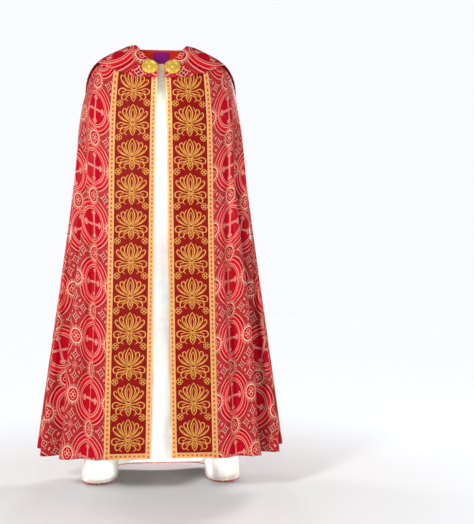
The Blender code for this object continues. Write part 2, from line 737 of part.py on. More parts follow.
def make_disc(name, seat, normal, collection):
    """A domed disc with a scalloped rim and a raised boss; returns its inner rim point."""
    mesh = bpy.data.meshes.new(name)
    shape = bmesh.new()
    count = CLASP_LOBES * 4
    rings = []
    for radius, height, scallop in CLASP_PROFILE:
        ring = []
        for k in range(count):
            angle = 2 * math.pi * k / count
            lobe = abs(math.cos(angle * CLASP_LOBES / 2)) - 1
            reach = CLASP_RADIUS * radius * (1 + CLASP_SCALLOP * scallop * lobe)
            ring.append(shape.verts.new((reach * math.cos(angle), reach * math.sin(angle), height)))
        rings.append(ring)
    top = shape.verts.new((0, 0, CLASP_PROFILE[-1][1]))
    low = shape.verts.new((0, 0, 0))
    for a, b in zip(rings[:-1], rings[1:]):
        for k in range(count):
            n = (k + 1) % count
            shape.faces.new((a[k], a[n], b[n], b[k]))
    for k in range(count):
        n = (k + 1) % count
        shape.faces.new((rings[-1][k], rings[-1][n], top))
        shape.faces.new((rings[0][n], rings[0][k], low))
    shape.to_mesh(mesh)
    shape.free()
    made = add_object(name, mesh, "gold", collection)
    made.rotation_mode = "QUATERNION"
    made.rotation_quaternion = normal.to_track_quat("Z", "Y")
    made.location = seat + normal * CLASP_STANDOFF
    inward = Vector((-math.copysign(1, seat.x), 0, 0))
    inward = (inward - normal * inward.dot(normal)).normalized()
    return made.location + inward * (CLASP_RADIUS + SEAM) + normal * WIRE


def make_chain(bar, collection):
    """S links, each in a plane square to the last, hung from the eye's lower leg."""
    radius = (CHAIN_LENGTH + (CHAIN_LINKS - 1) * (2 * CHAIN_WIRE + SEAM)) / CHAIN_LINKS / 4
    top = bar[2] + WIRE + CHAIN_WIRE + SEAM
    start, end, count = CHAIN_BEND
    over = np.linspace(math.radians(start), math.radians(end), count)
    under = np.linspace(math.radians(end - 180), math.radians(start - 180), count)[1:]
    for link in range(CHAIN_LINKS):
        shape = [(radius * math.cos(t), radius * (math.sin(t) - 1)) for t in over]
        shape += [(radius * math.cos(t), radius * (math.sin(t) - 3)) for t in under]
        turn = (link + 1) % 2 * math.pi / 2
        points = [(bar[0] + x * math.cos(turn), bar[1] + x * math.sin(turn), top + z)
                  for x, z in shape]
        tube(f"chain_link_{link + 1}", points, CHAIN_WIRE, "gold", collection)
        top -= 4 * radius - 2 * CHAIN_WIRE - SEAM


# ---------------------------------------------------------------- tassel

def make_tassel(tip, cape_tree, collection):
    """A cord loop under the hood's tip, and the tassel, which lies on the cape."""
    def resting(z, depth):
        return cast(cape_tree, 0.0, z, 1.0)[0][1] + depth + TASSEL_CLEAR

    radius, height = TASSEL_HEAD
    low = tip[2] - TASSEL_TOP
    crown = np.array((0.0, resting(low - height / 2, radius), low))
    loop = []
    for t in np.linspace(0, 2 * math.pi, 13)[:-1]:
        rise = 0.5 + 0.5 * math.cos(t)
        span = TASSEL_TOP - 2 * (CORD + SEAM)
        z = low + CORD + SEAM + span * rise
        y = crown[1] + (tip[1] - crown[1]) * rise
        loop.append((CORD_LOOP * math.sin(t), y, z))
    tube("tassel_cord", loop, CORD, "silk", collection, cyclic=True)

    shape = bmesh.new()
    bmesh.ops.create_uvsphere(shape, u_segments=14, v_segments=8, radius=radius)
    bmesh.ops.scale(shape, vec=(1, 1, height / 2 / radius), verts=shape.verts)
    bmesh.ops.translate(shape, vec=(0, crown[1], low - height / 2), verts=shape.verts)
    mesh = bpy.data.meshes.new("tassel")
    shape.to_mesh(mesh)
    shape.free()
    head = add_object("tassel", mesh, "silk", collection)

    foot = tip[2] - TASSEL_LENGTH
    root = np.array((0.0, crown[1], low - height * HEAD_ROOT))
    end = np.array((0.0, resting(foot, TASSEL_SKIRT[1]), foot))
    strands = strand_mesh(root, end)
    strands.hide_render = True
    strands.display_type = "WIRE"
    cutters = bpy.data.collections.new("cutters")
    bpy.context.scene.collection.children.link(cutters)
    cutters.objects.link(strands)
    union = head.modifiers.new("strands", "BOOLEAN")
    union.operation = "UNION"
    union.object = strands
    return head


def strand_mesh(root, end):
    """Three-sided strands that part from the head, in rings from the middle outwards."""
    vertices, faces = [], []
    for ring, (count, share) in enumerate(STRAND_RINGS):
        for number in range(count):
            turn = 2 * math.pi * (number + 0.5 * (ring % 2)) / count
            way = np.array((math.cos(turn), math.sin(turn), 0.0))
            uneven = STRAND_UNEVEN[0] * math.sin(STRAND_UNEVEN[1] * number + ring)
            first = len(vertices)
            for part in STRAND_STATIONS:
                spread = np.array((*TASSEL_SKIRT, 0.0)) * part ** STRAND_SPREAD
                spread += STRAND_ROOT * (1 - part)
                middle = root + (end - root) * part + way * spread * share
                middle[2] += uneven * part
                size = STRAND_SIZE * (STRAND_TAPER + (1 - STRAND_TAPER) * part)
                for side in range(3):
                    angle = turn + side * 2 * math.pi / 3
                    vertices.append(tuple(middle + size * np.array((math.cos(angle),
                                                                    math.sin(angle), 0.0))))
            for step in range(len(STRAND_STATIONS) - 1):
                for side in range(3):
                    a = first + step * 3 + side
                    b = first + step * 3 + (side + 1) % 3
                    faces.append((a, a + 3, b + 3, b))
            faces.append((first, first + 1, first + 2))
            last = len(vertices) - 3
            faces.append((last + 2, last + 1, last))
    mesh = bpy.data.meshes.new("tassel_strands")
    mesh.from_pydata(vertices, [], faces)
    face_out(mesh)
    return bpy.data.objects.new("tassel_strands", mesh)


def build():
    for made in list(bpy.data.objects):
        bpy.data.objects.remove(made)
    collection = bpy.data.collections.new("cope")
    bpy.context.scene.collection.children.link(collection)
    make_cape(collection)
    make_lining(collection)
    make_label(collection)
    make_orphreys(collection)
    hood = make_hood(collection)
    hood_tree = surface_tree(hood)
    make_cross(hood_tree, collection)
    make_clasp(hood_tree, collection)
    tip = hood[-1, hood.shape[1] // 2] - np.array((0.0, HOOD_WALL / 2, 0.0))
    make_tassel(tip, surface_tree(CAPE_GRID), collection)


build()
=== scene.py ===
import math

import bmesh
import bpy
import numpy as np
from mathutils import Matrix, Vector
from mathutils.bvhtree import BVHTree


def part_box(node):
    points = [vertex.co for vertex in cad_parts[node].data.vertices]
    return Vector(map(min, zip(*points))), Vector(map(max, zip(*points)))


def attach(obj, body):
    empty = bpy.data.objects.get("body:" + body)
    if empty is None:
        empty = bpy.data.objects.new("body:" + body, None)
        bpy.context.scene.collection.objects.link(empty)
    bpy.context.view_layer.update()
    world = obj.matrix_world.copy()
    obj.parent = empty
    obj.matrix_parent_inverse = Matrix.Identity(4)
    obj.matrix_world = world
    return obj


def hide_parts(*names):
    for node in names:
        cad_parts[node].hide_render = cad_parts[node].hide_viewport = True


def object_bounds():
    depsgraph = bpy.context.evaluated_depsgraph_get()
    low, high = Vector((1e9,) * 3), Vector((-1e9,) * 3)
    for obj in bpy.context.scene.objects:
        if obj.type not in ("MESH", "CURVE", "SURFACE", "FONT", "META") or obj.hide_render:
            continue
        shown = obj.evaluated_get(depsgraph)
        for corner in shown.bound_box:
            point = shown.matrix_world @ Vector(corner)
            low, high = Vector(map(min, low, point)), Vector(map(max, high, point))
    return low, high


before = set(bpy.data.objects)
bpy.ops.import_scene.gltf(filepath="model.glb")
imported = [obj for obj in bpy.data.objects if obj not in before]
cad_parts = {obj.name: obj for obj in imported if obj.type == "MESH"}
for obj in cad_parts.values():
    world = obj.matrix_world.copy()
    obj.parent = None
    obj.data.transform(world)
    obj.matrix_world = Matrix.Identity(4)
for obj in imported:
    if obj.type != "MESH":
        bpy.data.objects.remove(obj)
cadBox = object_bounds()
scene = bpy.context.scene

# The drape, in metres. The cope hangs from the neck down over smooth shoulders, then falls
# in folds to the hem.
seam = 0.0003  # clearance between two pieces
walls = {"cape": 0.0018, "lining": 0.0011, "hood": 0.0022, "orphrey": 0.0013, "galloon": 0.0018,
         "label": 0.0006, "cross": 0.0016}
strip = {"width": 0.150, "galloon": 0.018, "gapAtHem": 0.0325, "hemFront": (-0.220, -1.342),
         "firstRing": 2.0, "columns": 16, "guideColumns": 24, "rows": 240, "rowLength": 0.006,
         "leastRows": 8}
drape = {"roundness": 2.25, "neckV": 3, "foldStart": 7.0, "leastSlope": -0.02, "facingDepth": 1.30,
         "columns": 150, "stripColumns": 12, "hemSteps": 16, "columnStep": 0.055, "columnTurn": 26,
         "rowsAbove": 46, "rowsBelow": 100, "ringPoints": 721, "creaseFade": 0.7,
         "liningRows": 2, "liningShort": 0.3}

ringTable = (
    # width, back, front, side z, rear z, fore z, half front gap
    (0.0920, 0.0650, 0.1150, 0.0235, 0.0330, -0.0580, 0.0090),     # neckline
    (0.1240, 0.0800, 0.1220, 0.0085, 0.0100, -0.0700, 0.0100),     # collar
    (0.1680, 0.0980, 0.1280, -0.0120, -0.0220, -0.0840, 0.0110),   # yoke
    (0.2110, 0.1150, 0.1340, -0.0390, -0.0580, -0.1020, 0.0120),   # shoulder
    (0.2400, 0.1280, 0.1390, -0.0780, -0.0960, -0.1240, 0.0130),   # arm
    (0.2610, 0.1360, 0.1430, -0.1520, -0.1520, -0.1520, 0.0145),   # chest
)
hemTable = (
    # x, y, z, share of the half ring that hangs above
    (0.000, 0.192, -1.450, 0.000),    # back middle
    (0.070, 0.194, -1.451, 0.065),
    (0.130, 0.216, -1.456, 0.130),    # panel crest
    (0.180, 0.206, -1.464, 0.175),
    (0.150, 0.100, -1.468, 0.205),    # deep flank
    (0.166, -0.036, -1.470, 0.235),
    (0.290, -0.040, -1.466, 0.265),   # deep floor
    (0.252, 0.080, -1.435, 0.290),
    (0.196, 0.180, -1.392, 0.315),    # second crest
    (0.276, 0.192, -1.378, 0.345),
    (0.284, 0.078, -1.366, 0.375),    # third valley
    (0.322, 0.068, -1.354, 0.400),
    (0.318, 0.160, -1.344, 0.430),    # third crest
    (0.404, 0.146, -1.340, 0.460),
    (0.380, 0.068, -1.338, 0.490),
    (0.286, 0.056, -1.337, 0.515),    # fourth valley
    (0.280, 0.004, -1.337, 0.540),
    (0.376, 0.022, -1.337, 0.565),    # side crest
    (0.426, -0.006, -1.337, 0.595),
    (0.414, -0.062, -1.341, 0.625),
    (0.310, -0.024, -1.341, 0.650),   # fifth valley
    (0.252, -0.056, -1.341, 0.675),
    (0.334, -0.086, -1.342, 0.700),
    (0.412, -0.130, -1.344, 0.730),   # lobe crest
    (0.372, -0.162, -1.344, 0.765),
    (0.268, -0.092, -1.343, 0.800),   # front valley
    (0.196, -0.098, -1.342, 0.825),
    (0.262, -0.142, -1.342, 0.850),
    (0.352, -0.192, -1.342, 0.880),   # front crest
    (0.290, -0.222, -1.342, 0.910),
    (0.250, -0.184, -1.342, 0.940),   # soft trough
    (0.214, -0.234, -1.342, 0.970),
    (0.182, -0.222, -1.342, 1.000),   # orphrey edge
)


def bSpline(rows, steps):
    rows = np.array(rows, float)
    before = rows[1] * np.array((-1.0, 1.0, 1.0, -1.0))
    after = rows[-1] * 2 - rows[-2]
    rows = np.vstack((before, rows, after))
    points = []
    for a, b, c, d in zip(rows[:-3], rows[1:-2], rows[2:-1], rows[3:]):
        for t in np.arange(steps) / steps:
            points.append((a * (1 - t) ** 3 + b * (3 * t ** 3 - 6 * t * t + 4)
                           + c * (1 + 3 * t + 3 * t * t - 3 * t ** 3) + d * t ** 3) / 6)
    points.append((rows[-3] + 4 * rows[-2] + rows[-1]) / 6)
    return np.array(points)


def lengthsAlong(points):
    steps = np.linalg.norm(np.diff(points, axis=0), axis=1)
    return np.concatenate(((0.0,), np.cumsum(steps)))


def ringLine(ring):
    width, back, front, sideZ, rearZ, foreZ, gap = ring
    power = 2 / drape["roundness"]
    points = []
    for angle in np.linspace(0, math.pi, drape["ringPoints"]):
        turn = math.cos(angle)
        x = width * math.sin(angle) ** power
        behind = turn > 0
        if not behind and x < gap:
            break
        y = math.copysign((back if behind else front) * abs(turn) ** power, turn)
        rise = abs(turn) ** (2 if behind else drape["neckV"])
        points.append((x, y, sideZ + ((rearZ if behind else foreZ) - sideZ) * rise))
    return np.array(points)


ringLines = [ringLine(ring) for ring in ringTable]
ringLengths = [lengthsAlong(line) for line in ringLines]
yokeLength = ringLengths[2][-1]  # the yoke is the third ring
hemLine = bSpline(hemTable, drape["hemSteps"])
chest = len(ringTable) - 1
chestBack = ringTable[chest][4]


def onRing(ring, shares):
    line, lengths = ringLines[ring], ringLengths[ring]
    at = np.asarray(shares) * lengths[-1]
    return np.stack([np.interp(at, lengths, line[:, k]) for k in range(3)], -1)


def stripShare(ring, insets):
    return 1 - np.asarray(insets) / max(ringLengths[ring][-1], yokeLength)


def stripColumns(insets):
    insets = np.asarray(insets, float)
    rings = np.array([onRing(r, stripShare(r, insets)) for r in range(chest + 1)])
    end = np.array((strip["gapAtHem"], *strip["hemFront"]))
    hem = end + (hemLine[-1, :3] - end) * (insets / strip["width"])[:, None]
    return rings, hem


def bodyColumns(places):
    index = np.arange(len(hemLine))
    x, y, z, share = (np.interp(places, index, hemLine[:, k]) for k in range(4))
    share = share / hemLine[-1, 3]
    rings = np.array([onRing(r, share * stripShare(r, strip["width"])) for r in range(chest + 1)])
    return rings, np.stack((x, y, z), -1)


def clothPoints(columns, levels):
    rings, hem = columns
    ends = np.concatenate(([rings[0] * 2 - rings[1]], rings, [rings[-1] * 2 - rings[-2]]))
    run = hem - rings[-1]
    slope = rings[-1] - rings[-2]
    slope = slope * (run[:, 2] / np.minimum(slope[:, 2], drape["leastSlope"]))[:, None]
    rows = []
    for level in levels:
        if level <= chest:
            first = min(int(level), chest - 1)
            t = level - first
            a, b, c, d = ends[first:first + 4]
            rows.append(0.5 * (2 * b + (c - a) * t + (2 * a - 5 * b + 4 * c - d) * t * t
                               + (3 * b - a - 3 * c + d) * t ** 3))
        else:
            down = level - chest
            rows.append(rings[-1] + run * down
                        + (slope - run) * down * (1 - down) ** drape["foldStart"])
    return np.array(rows)


def bodyPlaces(count):
    steps = np.diff(hemLine[:, :2], axis=0)
    turn = np.unwrap(np.arctan2(steps[:, 1], steps[:, 0]))
    weight = np.linalg.norm(steps, axis=1) / drape["columnStep"]
    weight[1:] += np.abs(np.diff(turn)) / math.radians(drape["columnTurn"])
    total = np.concatenate(((0.0,), np.cumsum(weight)))
    return np.interp(np.linspace(0, total[-1], count + 1), total, np.arange(len(total)))


def normalsOf(grid):
    normal = np.cross(np.gradient(grid, axis=1), np.gradient(grid, axis=0))
    return normal / np.linalg.norm(normal, axis=2, keepdims=True)


def mirrored(grid):
    return grid * np.array((-1.0, 1.0, 1.0))


# Creases on the +X half: where each starts and ends, as a share of the hem's
# half length and a level, its half width and its depth in metres. A minus is a ridge.
creaseTable = (
    # start share, level, end share, level, half width, depth, share of it on -X
    (0.022, 5.16, 0.034, 5.86, 0.024, 0.0060, 0.6),
    (0.060, 5.30, 0.052, 6.00, 0.020, -0.0050, 1.0),
    (0.082, 5.22, 0.090, 5.97, 0.022, 0.0075, 0.8),
    (0.118, 5.05, 0.128, 5.50, 0.020, -0.0045, 1.0),
    (0.318, 4.60, 0.330, 5.45, 0.018, 0.0060, 0.7),
    (0.338, 5.20, 0.334, 5.98, 0.016, -0.0050, 1.0),
    (0.352, 4.95, 0.356, 5.80, 0.015, 0.0058, 0.9),
    (0.420, 4.70, 0.428, 5.60, 0.016, 0.0062, 0.6),
    (0.446, 5.00, 0.450, 5.90, 0.016, -0.0052, 1.0),
    (0.545, 4.60, 0.552, 5.50, 0.017, 0.0060, 1.0),
    (0.590, 4.55, 0.596, 5.85, 0.018, 0.0070, 0.8),
    (0.612, 4.80, 0.618, 5.60, 0.016, -0.0052, 0.9),
    (0.692, 5.02, 0.727, 5.62, 0.011, 0.0130, 1.0),
    (0.727, 5.28, 0.736, 6.02, 0.010, 0.0170, 0.9),
    (0.742, 5.40, 0.756, 6.00, 0.009, -0.0050, 0.8),
    (0.866, 5.06, 0.898, 5.56, 0.014, 0.0150, 0.9),
    (0.897, 5.32, 0.899, 6.02, 0.014, 0.0180, 0.8),
    (0.901, 5.12, 0.918, 6.00, 0.009, -0.0080, 1.0),
    (0.848, 5.30, 0.878, 6.02, 0.013, -0.0090, 0.8),
    (0.838, 5.50, 0.866, 6.02, 0.009, 0.0080, 1.0),
    (0.884, 5.70, 0.888, 6.02, 0.008, 0.0045, 0.6),
)


def creased(grid, levels, hand):
    rows = grid.copy()
    normal = normalsOf(grid)
    lengths = np.array([lengthsAlong(row) for row in grid])
    hemShare = lengths[-1] / lengths[-1, -1]
    down = np.asarray(levels)[:, None]
    for start, top, end, foot, width, depth, otherSide in creaseTable:
        along = np.clip((down - top) / (foot - top), 0, 1)
        middle = start + (end - start) * along
        across = (hemShare[None, :] - middle) * lengths[:, -1:]
        inside = (down > top) & (down < foot)
        fade = np.where(inside, np.sin(math.pi * along) ** drape["creaseFade"], 0)
        strength = depth * (1 if hand > 0 else otherSide)
        rows -= normal * (strength * fade * np.exp(-(across / width) ** 2))[:, :, None]
    return rows


# A pattern follows the cloth as it was cut: the back from the back middle, upright, and
# each front from its straight edge. The two meet in the deep side valley.
cut = {"neckRadius": 0.245, "halfAngle": math.radians(73.4), "valleyShare": 0.646,
       "edgeShare": 0.800, "edgeBlend": 0.02, "edgeSqueeze": 1.3, "uvScale": 0.25,
       "bodyPitch": 0.187, "hoodPitch": 0.213, "backAboveHem": 0.106, "frontRow": -0.802,
       "hoodStart": -0.451}


def cutPoints(grid, front):
    down = np.concatenate((np.zeros((1, grid.shape[1])),
                           np.cumsum(np.linalg.norm(np.diff(grid, axis=0), axis=2), axis=0)))
    share = lengthsAlong(grid[-1])
    share = share / share[-1]
    radius = cut["neckRadius"] + down
    if front:
        angle = (1 - share)[None, :] * cut["halfAngle"]
        turned = np.stack((radius * np.sin(angle), -radius * np.cos(angle)), -1)
        # between the front edge and its valley the pattern hangs parallel to the edge
        lengths = np.array([lengthsAlong(row) for row in grid])
        beside = np.stack(((lengths[:, -1:] - lengths) * cut["edgeSqueeze"],
                           -down - cut["neckRadius"]), -1)
        mix = np.clip((share - cut["edgeShare"]) / cut["edgeBlend"] + 0.5, 0, 1)[None, :, None]
        return beside * mix + turned * (1 - mix)
    angle = share[None, :] * cut["halfAngle"]
    return np.stack((radius * np.sin(angle), -radius * np.cos(angle)), -1)


def halfGrid(hand, levels, columnCount):
    body = clothPoints(bodyColumns(bodyPlaces(columnCount)), levels)
    band = clothPoints(stripColumns(np.linspace(strip["width"], 0, drape["stripColumns"] + 1)[1:]),
                       levels)
    grid = np.concatenate((body, band), axis=1)
    return creased(grid, levels, hand)


def bodyLevels(rowsAbove, rowsBelow):
    return np.concatenate((np.linspace(0, chest, rowsAbove + 1)[:-1],
                           chest + np.linspace(0, 1, rowsBelow + 1)))


levels = bodyLevels(drape["rowsAbove"], drape["rowsBelow"])
rightHalf = mirrored(halfGrid(-1, levels, drape["columns"])[:, ::-1])
leftHalf = halfGrid(1, levels, drape["columns"])
middleRow = (rightHalf[:, -1] + leftHalf[:, 0]) / 2 * np.array((0.0, 1.0, 1.0))
capeGrid = np.concatenate((rightHalf[:, :-1], middleRow[:, None], leftHalf[:, 1:]), axis=1)
capeNormals = normalsOf(capeGrid)
middleColumn = leftHalf.shape[1] - 1
print("drape made:", capeGrid.shape)


def addObject(name, mesh, material, smoothAngle=None):
    mesh.shade_smooth()
    if smoothAngle:
        mesh.set_sharp_from_angle(angle=math.radians(smoothAngle))
    mesh.materials.clear()
    mesh.materials.append(material)
    made = bpy.data.objects.new(name, mesh)
    scene.collection.objects.link(made)
    return made


def gridFaces(rows, columns):
    first = (np.arange(rows - 1)[:, None] * columns + np.arange(columns - 1)[None, :]).ravel()
    return np.stack((first, first + 1, first + columns + 1, first + columns), -1)


def setUvs(mesh, cornerUvs, name="cut"):
    layer = mesh.uv_layers.new(name=name)
    layer.data.foreach_set("uv", np.asarray(cornerUvs, np.float32).ravel())


def clothWall(name, outer, inner, material, cutOf, cutOther=None, otherColumns=None,
              ring=False, disc=False):
    # A wall between two grids, closed all round. A ring's last column meets its first, and
    # a disc is a ring whose last row is one point. Some columns may take another cut.
    rows, columns = outer.shape[:2]
    faces = gridFaces(rows, columns)
    size = rows * columns
    back = faces[:, ::-1] + size
    edge = []
    for column in range(columns - 1):
        edge.append((column + 1, column, column + size, column + 1 + size))
        low = (rows - 1) * columns + column
        if not disc:
            edge.append((low, low + 1, low + 1 + size, low + size))
    for row in range(0 if ring or disc else rows - 1):
        a = row * columns
        edge.append((a, a + columns, a + columns + size, a + size))
        b = a + columns - 1
        edge.append((b + columns, b, b + size, b + columns + size))
    allFaces = np.concatenate((faces, back, np.array(edge)))
    vertices = np.concatenate((outer.reshape(-1, 3), inner.reshape(-1, 3)))
    mesh = bpy.data.meshes.new(name)
    mesh.from_pydata(vertices.tolist(), [], allFaces.tolist())
    mesh.update()
    uvs = np.concatenate((cutOf.reshape(-1, 2),) * 2)[allFaces]
    if cutOther is not None:
        swap = otherColumns[(allFaces % size) % columns].all(axis=1)
        uvs[swap] = np.concatenate((cutOther.reshape(-1, 2),) * 2)[allFaces][swap]
    setUvs(mesh, uvs.reshape(-1, 2) * cut["uvScale"])
    if ring or disc:
        turnOut(mesh)
    return addObject(name, mesh, material)


def turnOut(mesh):
    shape = bmesh.new()
    shape.from_mesh(mesh)
    bmesh.ops.remove_doubles(shape, verts=shape.verts, dist=1e-6)
    bmesh.ops.recalc_face_normals(shape, faces=shape.faces)
    shape.to_mesh(mesh)
    shape.free()


def fix(piece, nodes):
    # Finish a piece: it rides on the one body and stands for its solids.
    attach(piece, "root")
    if nodes:
        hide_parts(*nodes)


class Field:
    # A number that varies over a surface, worked out by Math nodes.
    def __init__(self, tree, socket):
        self.tree = tree
        self.socket = socket

    def calc(self, operation, *others):
        made = self.tree.nodes.new("ShaderNodeMath")
        made.operation = operation
        for place, value in enumerate((self, *others)):
            if isinstance(value, Field):
                self.tree.links.new(value.socket, made.inputs[place])
            else:
                made.inputs[place].default_value = value
        return Field(self.tree, made.outputs[0])

    def __add__(self, other):
        return self.calc("ADD", other)

    def __sub__(self, other):
        return self.calc("SUBTRACT", other)

    def __mul__(self, other):
        return self.calc("MULTIPLY", other)

    def away(self, other=0.0):
        return (self - other).calc("ABSOLUTE")

    def largest(self, other):
        return self.calc("MAXIMUM", other)

    def smallest(self, other):
        return self.calc("MINIMUM", other)

    def wave(self, rate, start=0.0):
        return (self * rate + start).calc("SINE")

    def folded(self):
        # Distance from the nearest whole number.
        return (self + 0.5).calc("FRACT").away(0.5)

    def under(self, limit, soft=0.002):
        # 1 below the limit, 0 above it.
        made = self.tree.nodes.new("ShaderNodeMapRange")
        made.interpolation_type = "SMOOTHSTEP"
        self.tree.links.new(self.socket, made.inputs["Value"])
        made.inputs["From Min"].default_value = limit - soft
        made.inputs["From Max"].default_value = limit + soft
        made.inputs["To Min"].default_value = 1.0
        made.inputs["To Max"].default_value = 0.0
        return Field(self.tree, made.outputs["Result"])

    def line(self, at, half, soft=0.002):
        return self.away(at).under(half, soft)


def radiusOf(x, y):
    return (x * x + y * y).calc("SQRT")


def newMaterial(name, colour, roughness, metallic=0.0, gloss=0.25):
    made = bpy.data.materials.new(name)
    made.use_nodes = True
    shader = made.node_tree.nodes["Principled BSDF"]
    shader.inputs["Base Color"].default_value = (*colour, 1)
    shader.inputs["Roughness"].default_value = roughness
    shader.inputs["Metallic"].default_value = metallic
    shader.inputs["Specular IOR Level"].default_value = gloss
    made.diffuse_color = (*colour, 1)
    return made, made.node_tree, shader


def mixColours(tree, first, second, amount):
    made = tree.nodes.new("ShaderNodeMix")
    made.data_type = "RGBA"
    for socket, value in ((made.inputs[6], first), (made.inputs[7], second)):
        if isinstance(value, tuple):
            socket.default_value = (*value, 1)
        else:
            tree.links.new(value, socket)
    if isinstance(amount, Field):
        tree.links.new(amount.socket, made.inputs[0])
    else:
        made.inputs[0].default_value = amount
    return made.outputs[2]


def cutField(tree, axis):
    # Metres along the cut, across (0) or down (1).
    coordinate = tree.nodes.new("ShaderNodeUVMap")
    coordinate.uv_map = "cut"
    parts = tree.nodes.new("ShaderNodeSeparateXYZ")
    tree.links.new(coordinate.outputs["UV"], parts.inputs[0])
    return Field(tree, parts.outputs[axis]) * (1 / cut["uvScale"])


def noiseField(tree, scale, detail=3.0):
    coordinate = tree.nodes.new("ShaderNodeTexCoord")
    noise = tree.nodes.new("ShaderNodeTexNoise")
    noise.inputs["Scale"].default_value = scale
    noise.inputs["Detail"].default_value = detail
    tree.links.new(coordinate.outputs["Object"], noise.inputs["Vector"])
    return Field(tree, noise.outputs["Fac"])


def addBump(tree, shader, height, distance, strength):
    bump = tree.nodes.new("ShaderNodeBump")
    bump.inputs["Distance"].default_value = distance
    bump.inputs["Strength"].default_value = strength
    tree.links.new(height.socket, bump.inputs["Height"])
    tree.links.new(bump.outputs["Normal"], shader.inputs["Normal"])


# Brocade: a lattice of large roundels with a budded cross, small roundels between them
# and flowers in the corners. Sizes are shares of the lattice's pitch.
brocade = {
    "ground": (0.570, 0.0025, 0.018), "bandColour": (0.760, 0.0080, 0.024),
    "cornerColour": (0.440, 0.0012, 0.010), "dark": (0.150, 0.0004, 0.006),
    "thread": (0.890, 0.235, 0.205), "pale": (0.960, 0.640, 0.440),
    "armEnd": 0.200, "armHalf": 0.0105, "bud": (0.221, 0.0195),
    "sideBud": (0.199, 0.030, 0.0165), "crossLine": 0.0074,
    "innerRing": (0.268, 0.304), "outerRing": (0.378, 0.442),
    "ringLines": (0.0068, 0.0095, 0.0066, 0.0084), "dashes": 44, "dashHalf": 0.012,
    "smallDisc": 0.118, "smallGap": 0.012, "smallLine": 0.0075, "smallEye": 0.014,
    "smallPetal": (0.045, 0.031, 0.0068), "halo": 0.180, "haloSoft": 0.02, "haloRays": 22,
    "haloShow": (0.30, 0.85), "haloThins": 0.75,
    "star": 0.046, "starWave": 0.018, "starPoints": 8.0, "starLine": 0.0070, "starEye": 0.016,
    "quatrefoil": 0.178, "foilPetal": (0.031, 0.027, 0.0072), "foilEye": 0.012,
    "leaf": ((0.108, 0.108), (0.086, 0.128)), "leafSize": (0.040, 0.0068),
    "dots": (0.092, 0.088, 0.0110), "farDot": (0.262, 0.016), "petalEdge": 0.005,
    "trellis": 9.0, "trellisBar": (0.25, 0.06), "trellisShow": 0.27, "petalShow": 0.8,
    "dashShow": 0.7, "slub": 0.20, "slubRate": 70.0, "paleSlub": 0.7,
    "roughness": 0.38, "threadRoughness": 0.06, "gloss": 0.05, "weave": 1400.0,
    "weaveHeight": 0.12, "crinkle": (22.0, 5.0), "relief": 0.0006, "reliefStrength": 0.6,
}


def roundelLines(far, near, radius):
    # The budded cross in a large roundel, and the rings round it.
    arm = (near - brocade["armHalf"]).largest(far - brocade["armEnd"])
    at, size = brocade["bud"]
    bud = radiusOf(far - at, near) - size
    at, beside, size = brocade["sideBud"]
    sideBud = radiusOf(far - at, near - beside) - size
    lines = arm.smallest(bud).smallest(sideBud).line(0.0, brocade["crossLine"])
    rings = (*brocade["innerRing"], *brocade["outerRing"])
    for at, half in zip(rings, brocade["ringLines"]):
        lines = lines.largest(radius.line(at, half))
    return lines


def smallLines(a, near, small):
    # The quatrefoil in a small roundel.
    at, size, half = brocade["smallPetal"]
    petal = radiusOf(a - at, near).smallest(radiusOf(a, near - at)) - size
    return petal.line(0.0, half).largest(small.under(brocade["smallEye"]))


def cornerLines(a, b):
    # A star in the corner, four quatrefoils and four leaves round it, and dots.
    p, q = a.largest(b), a.smallest(b)
    corner = radiusOf(a, b)
    wave = a.calc("ARCTAN2", b).wave(brocade["starPoints"], math.pi / 2)
    star = corner - (wave * brocade["starWave"] + brocade["star"])
    lines = star.line(0.0, brocade["starLine"]).largest(corner.under(brocade["starEye"]))
    middle = p - brocade["quatrefoil"]
    petal, size, foilHalf = brocade["foilPetal"]
    foil = radiusOf(middle.away() - petal, q).smallest(radiusOf(middle, q - petal)) - size
    (nearP, nearQ), (farP, farQ) = brocade["leaf"]
    size, leafHalf = brocade["leafSize"]
    leaf = radiusOf(p - nearP, q - nearQ).largest(radiusOf(p - farP, q - farQ)) - size
    inner, beside, dotSize = brocade["dots"]
    dots = radiusOf(p - inner, q).smallest(radiusOf(middle, q - beside)).under(dotSize)
    at, dotSize = brocade["farDot"]
    dots = dots.largest(radiusOf(p - at, q).under(dotSize))
    lines = lines.largest(foil.line(0.0, foilHalf)).largest(leaf.line(0.0, leafHalf)).largest(dots)
    lines = lines.largest(radiusOf(middle, q).under(brocade["foilEye"]))
    edge = -brocade["petalEdge"]
    return lines, foil.under(edge).largest(leaf.under(edge))


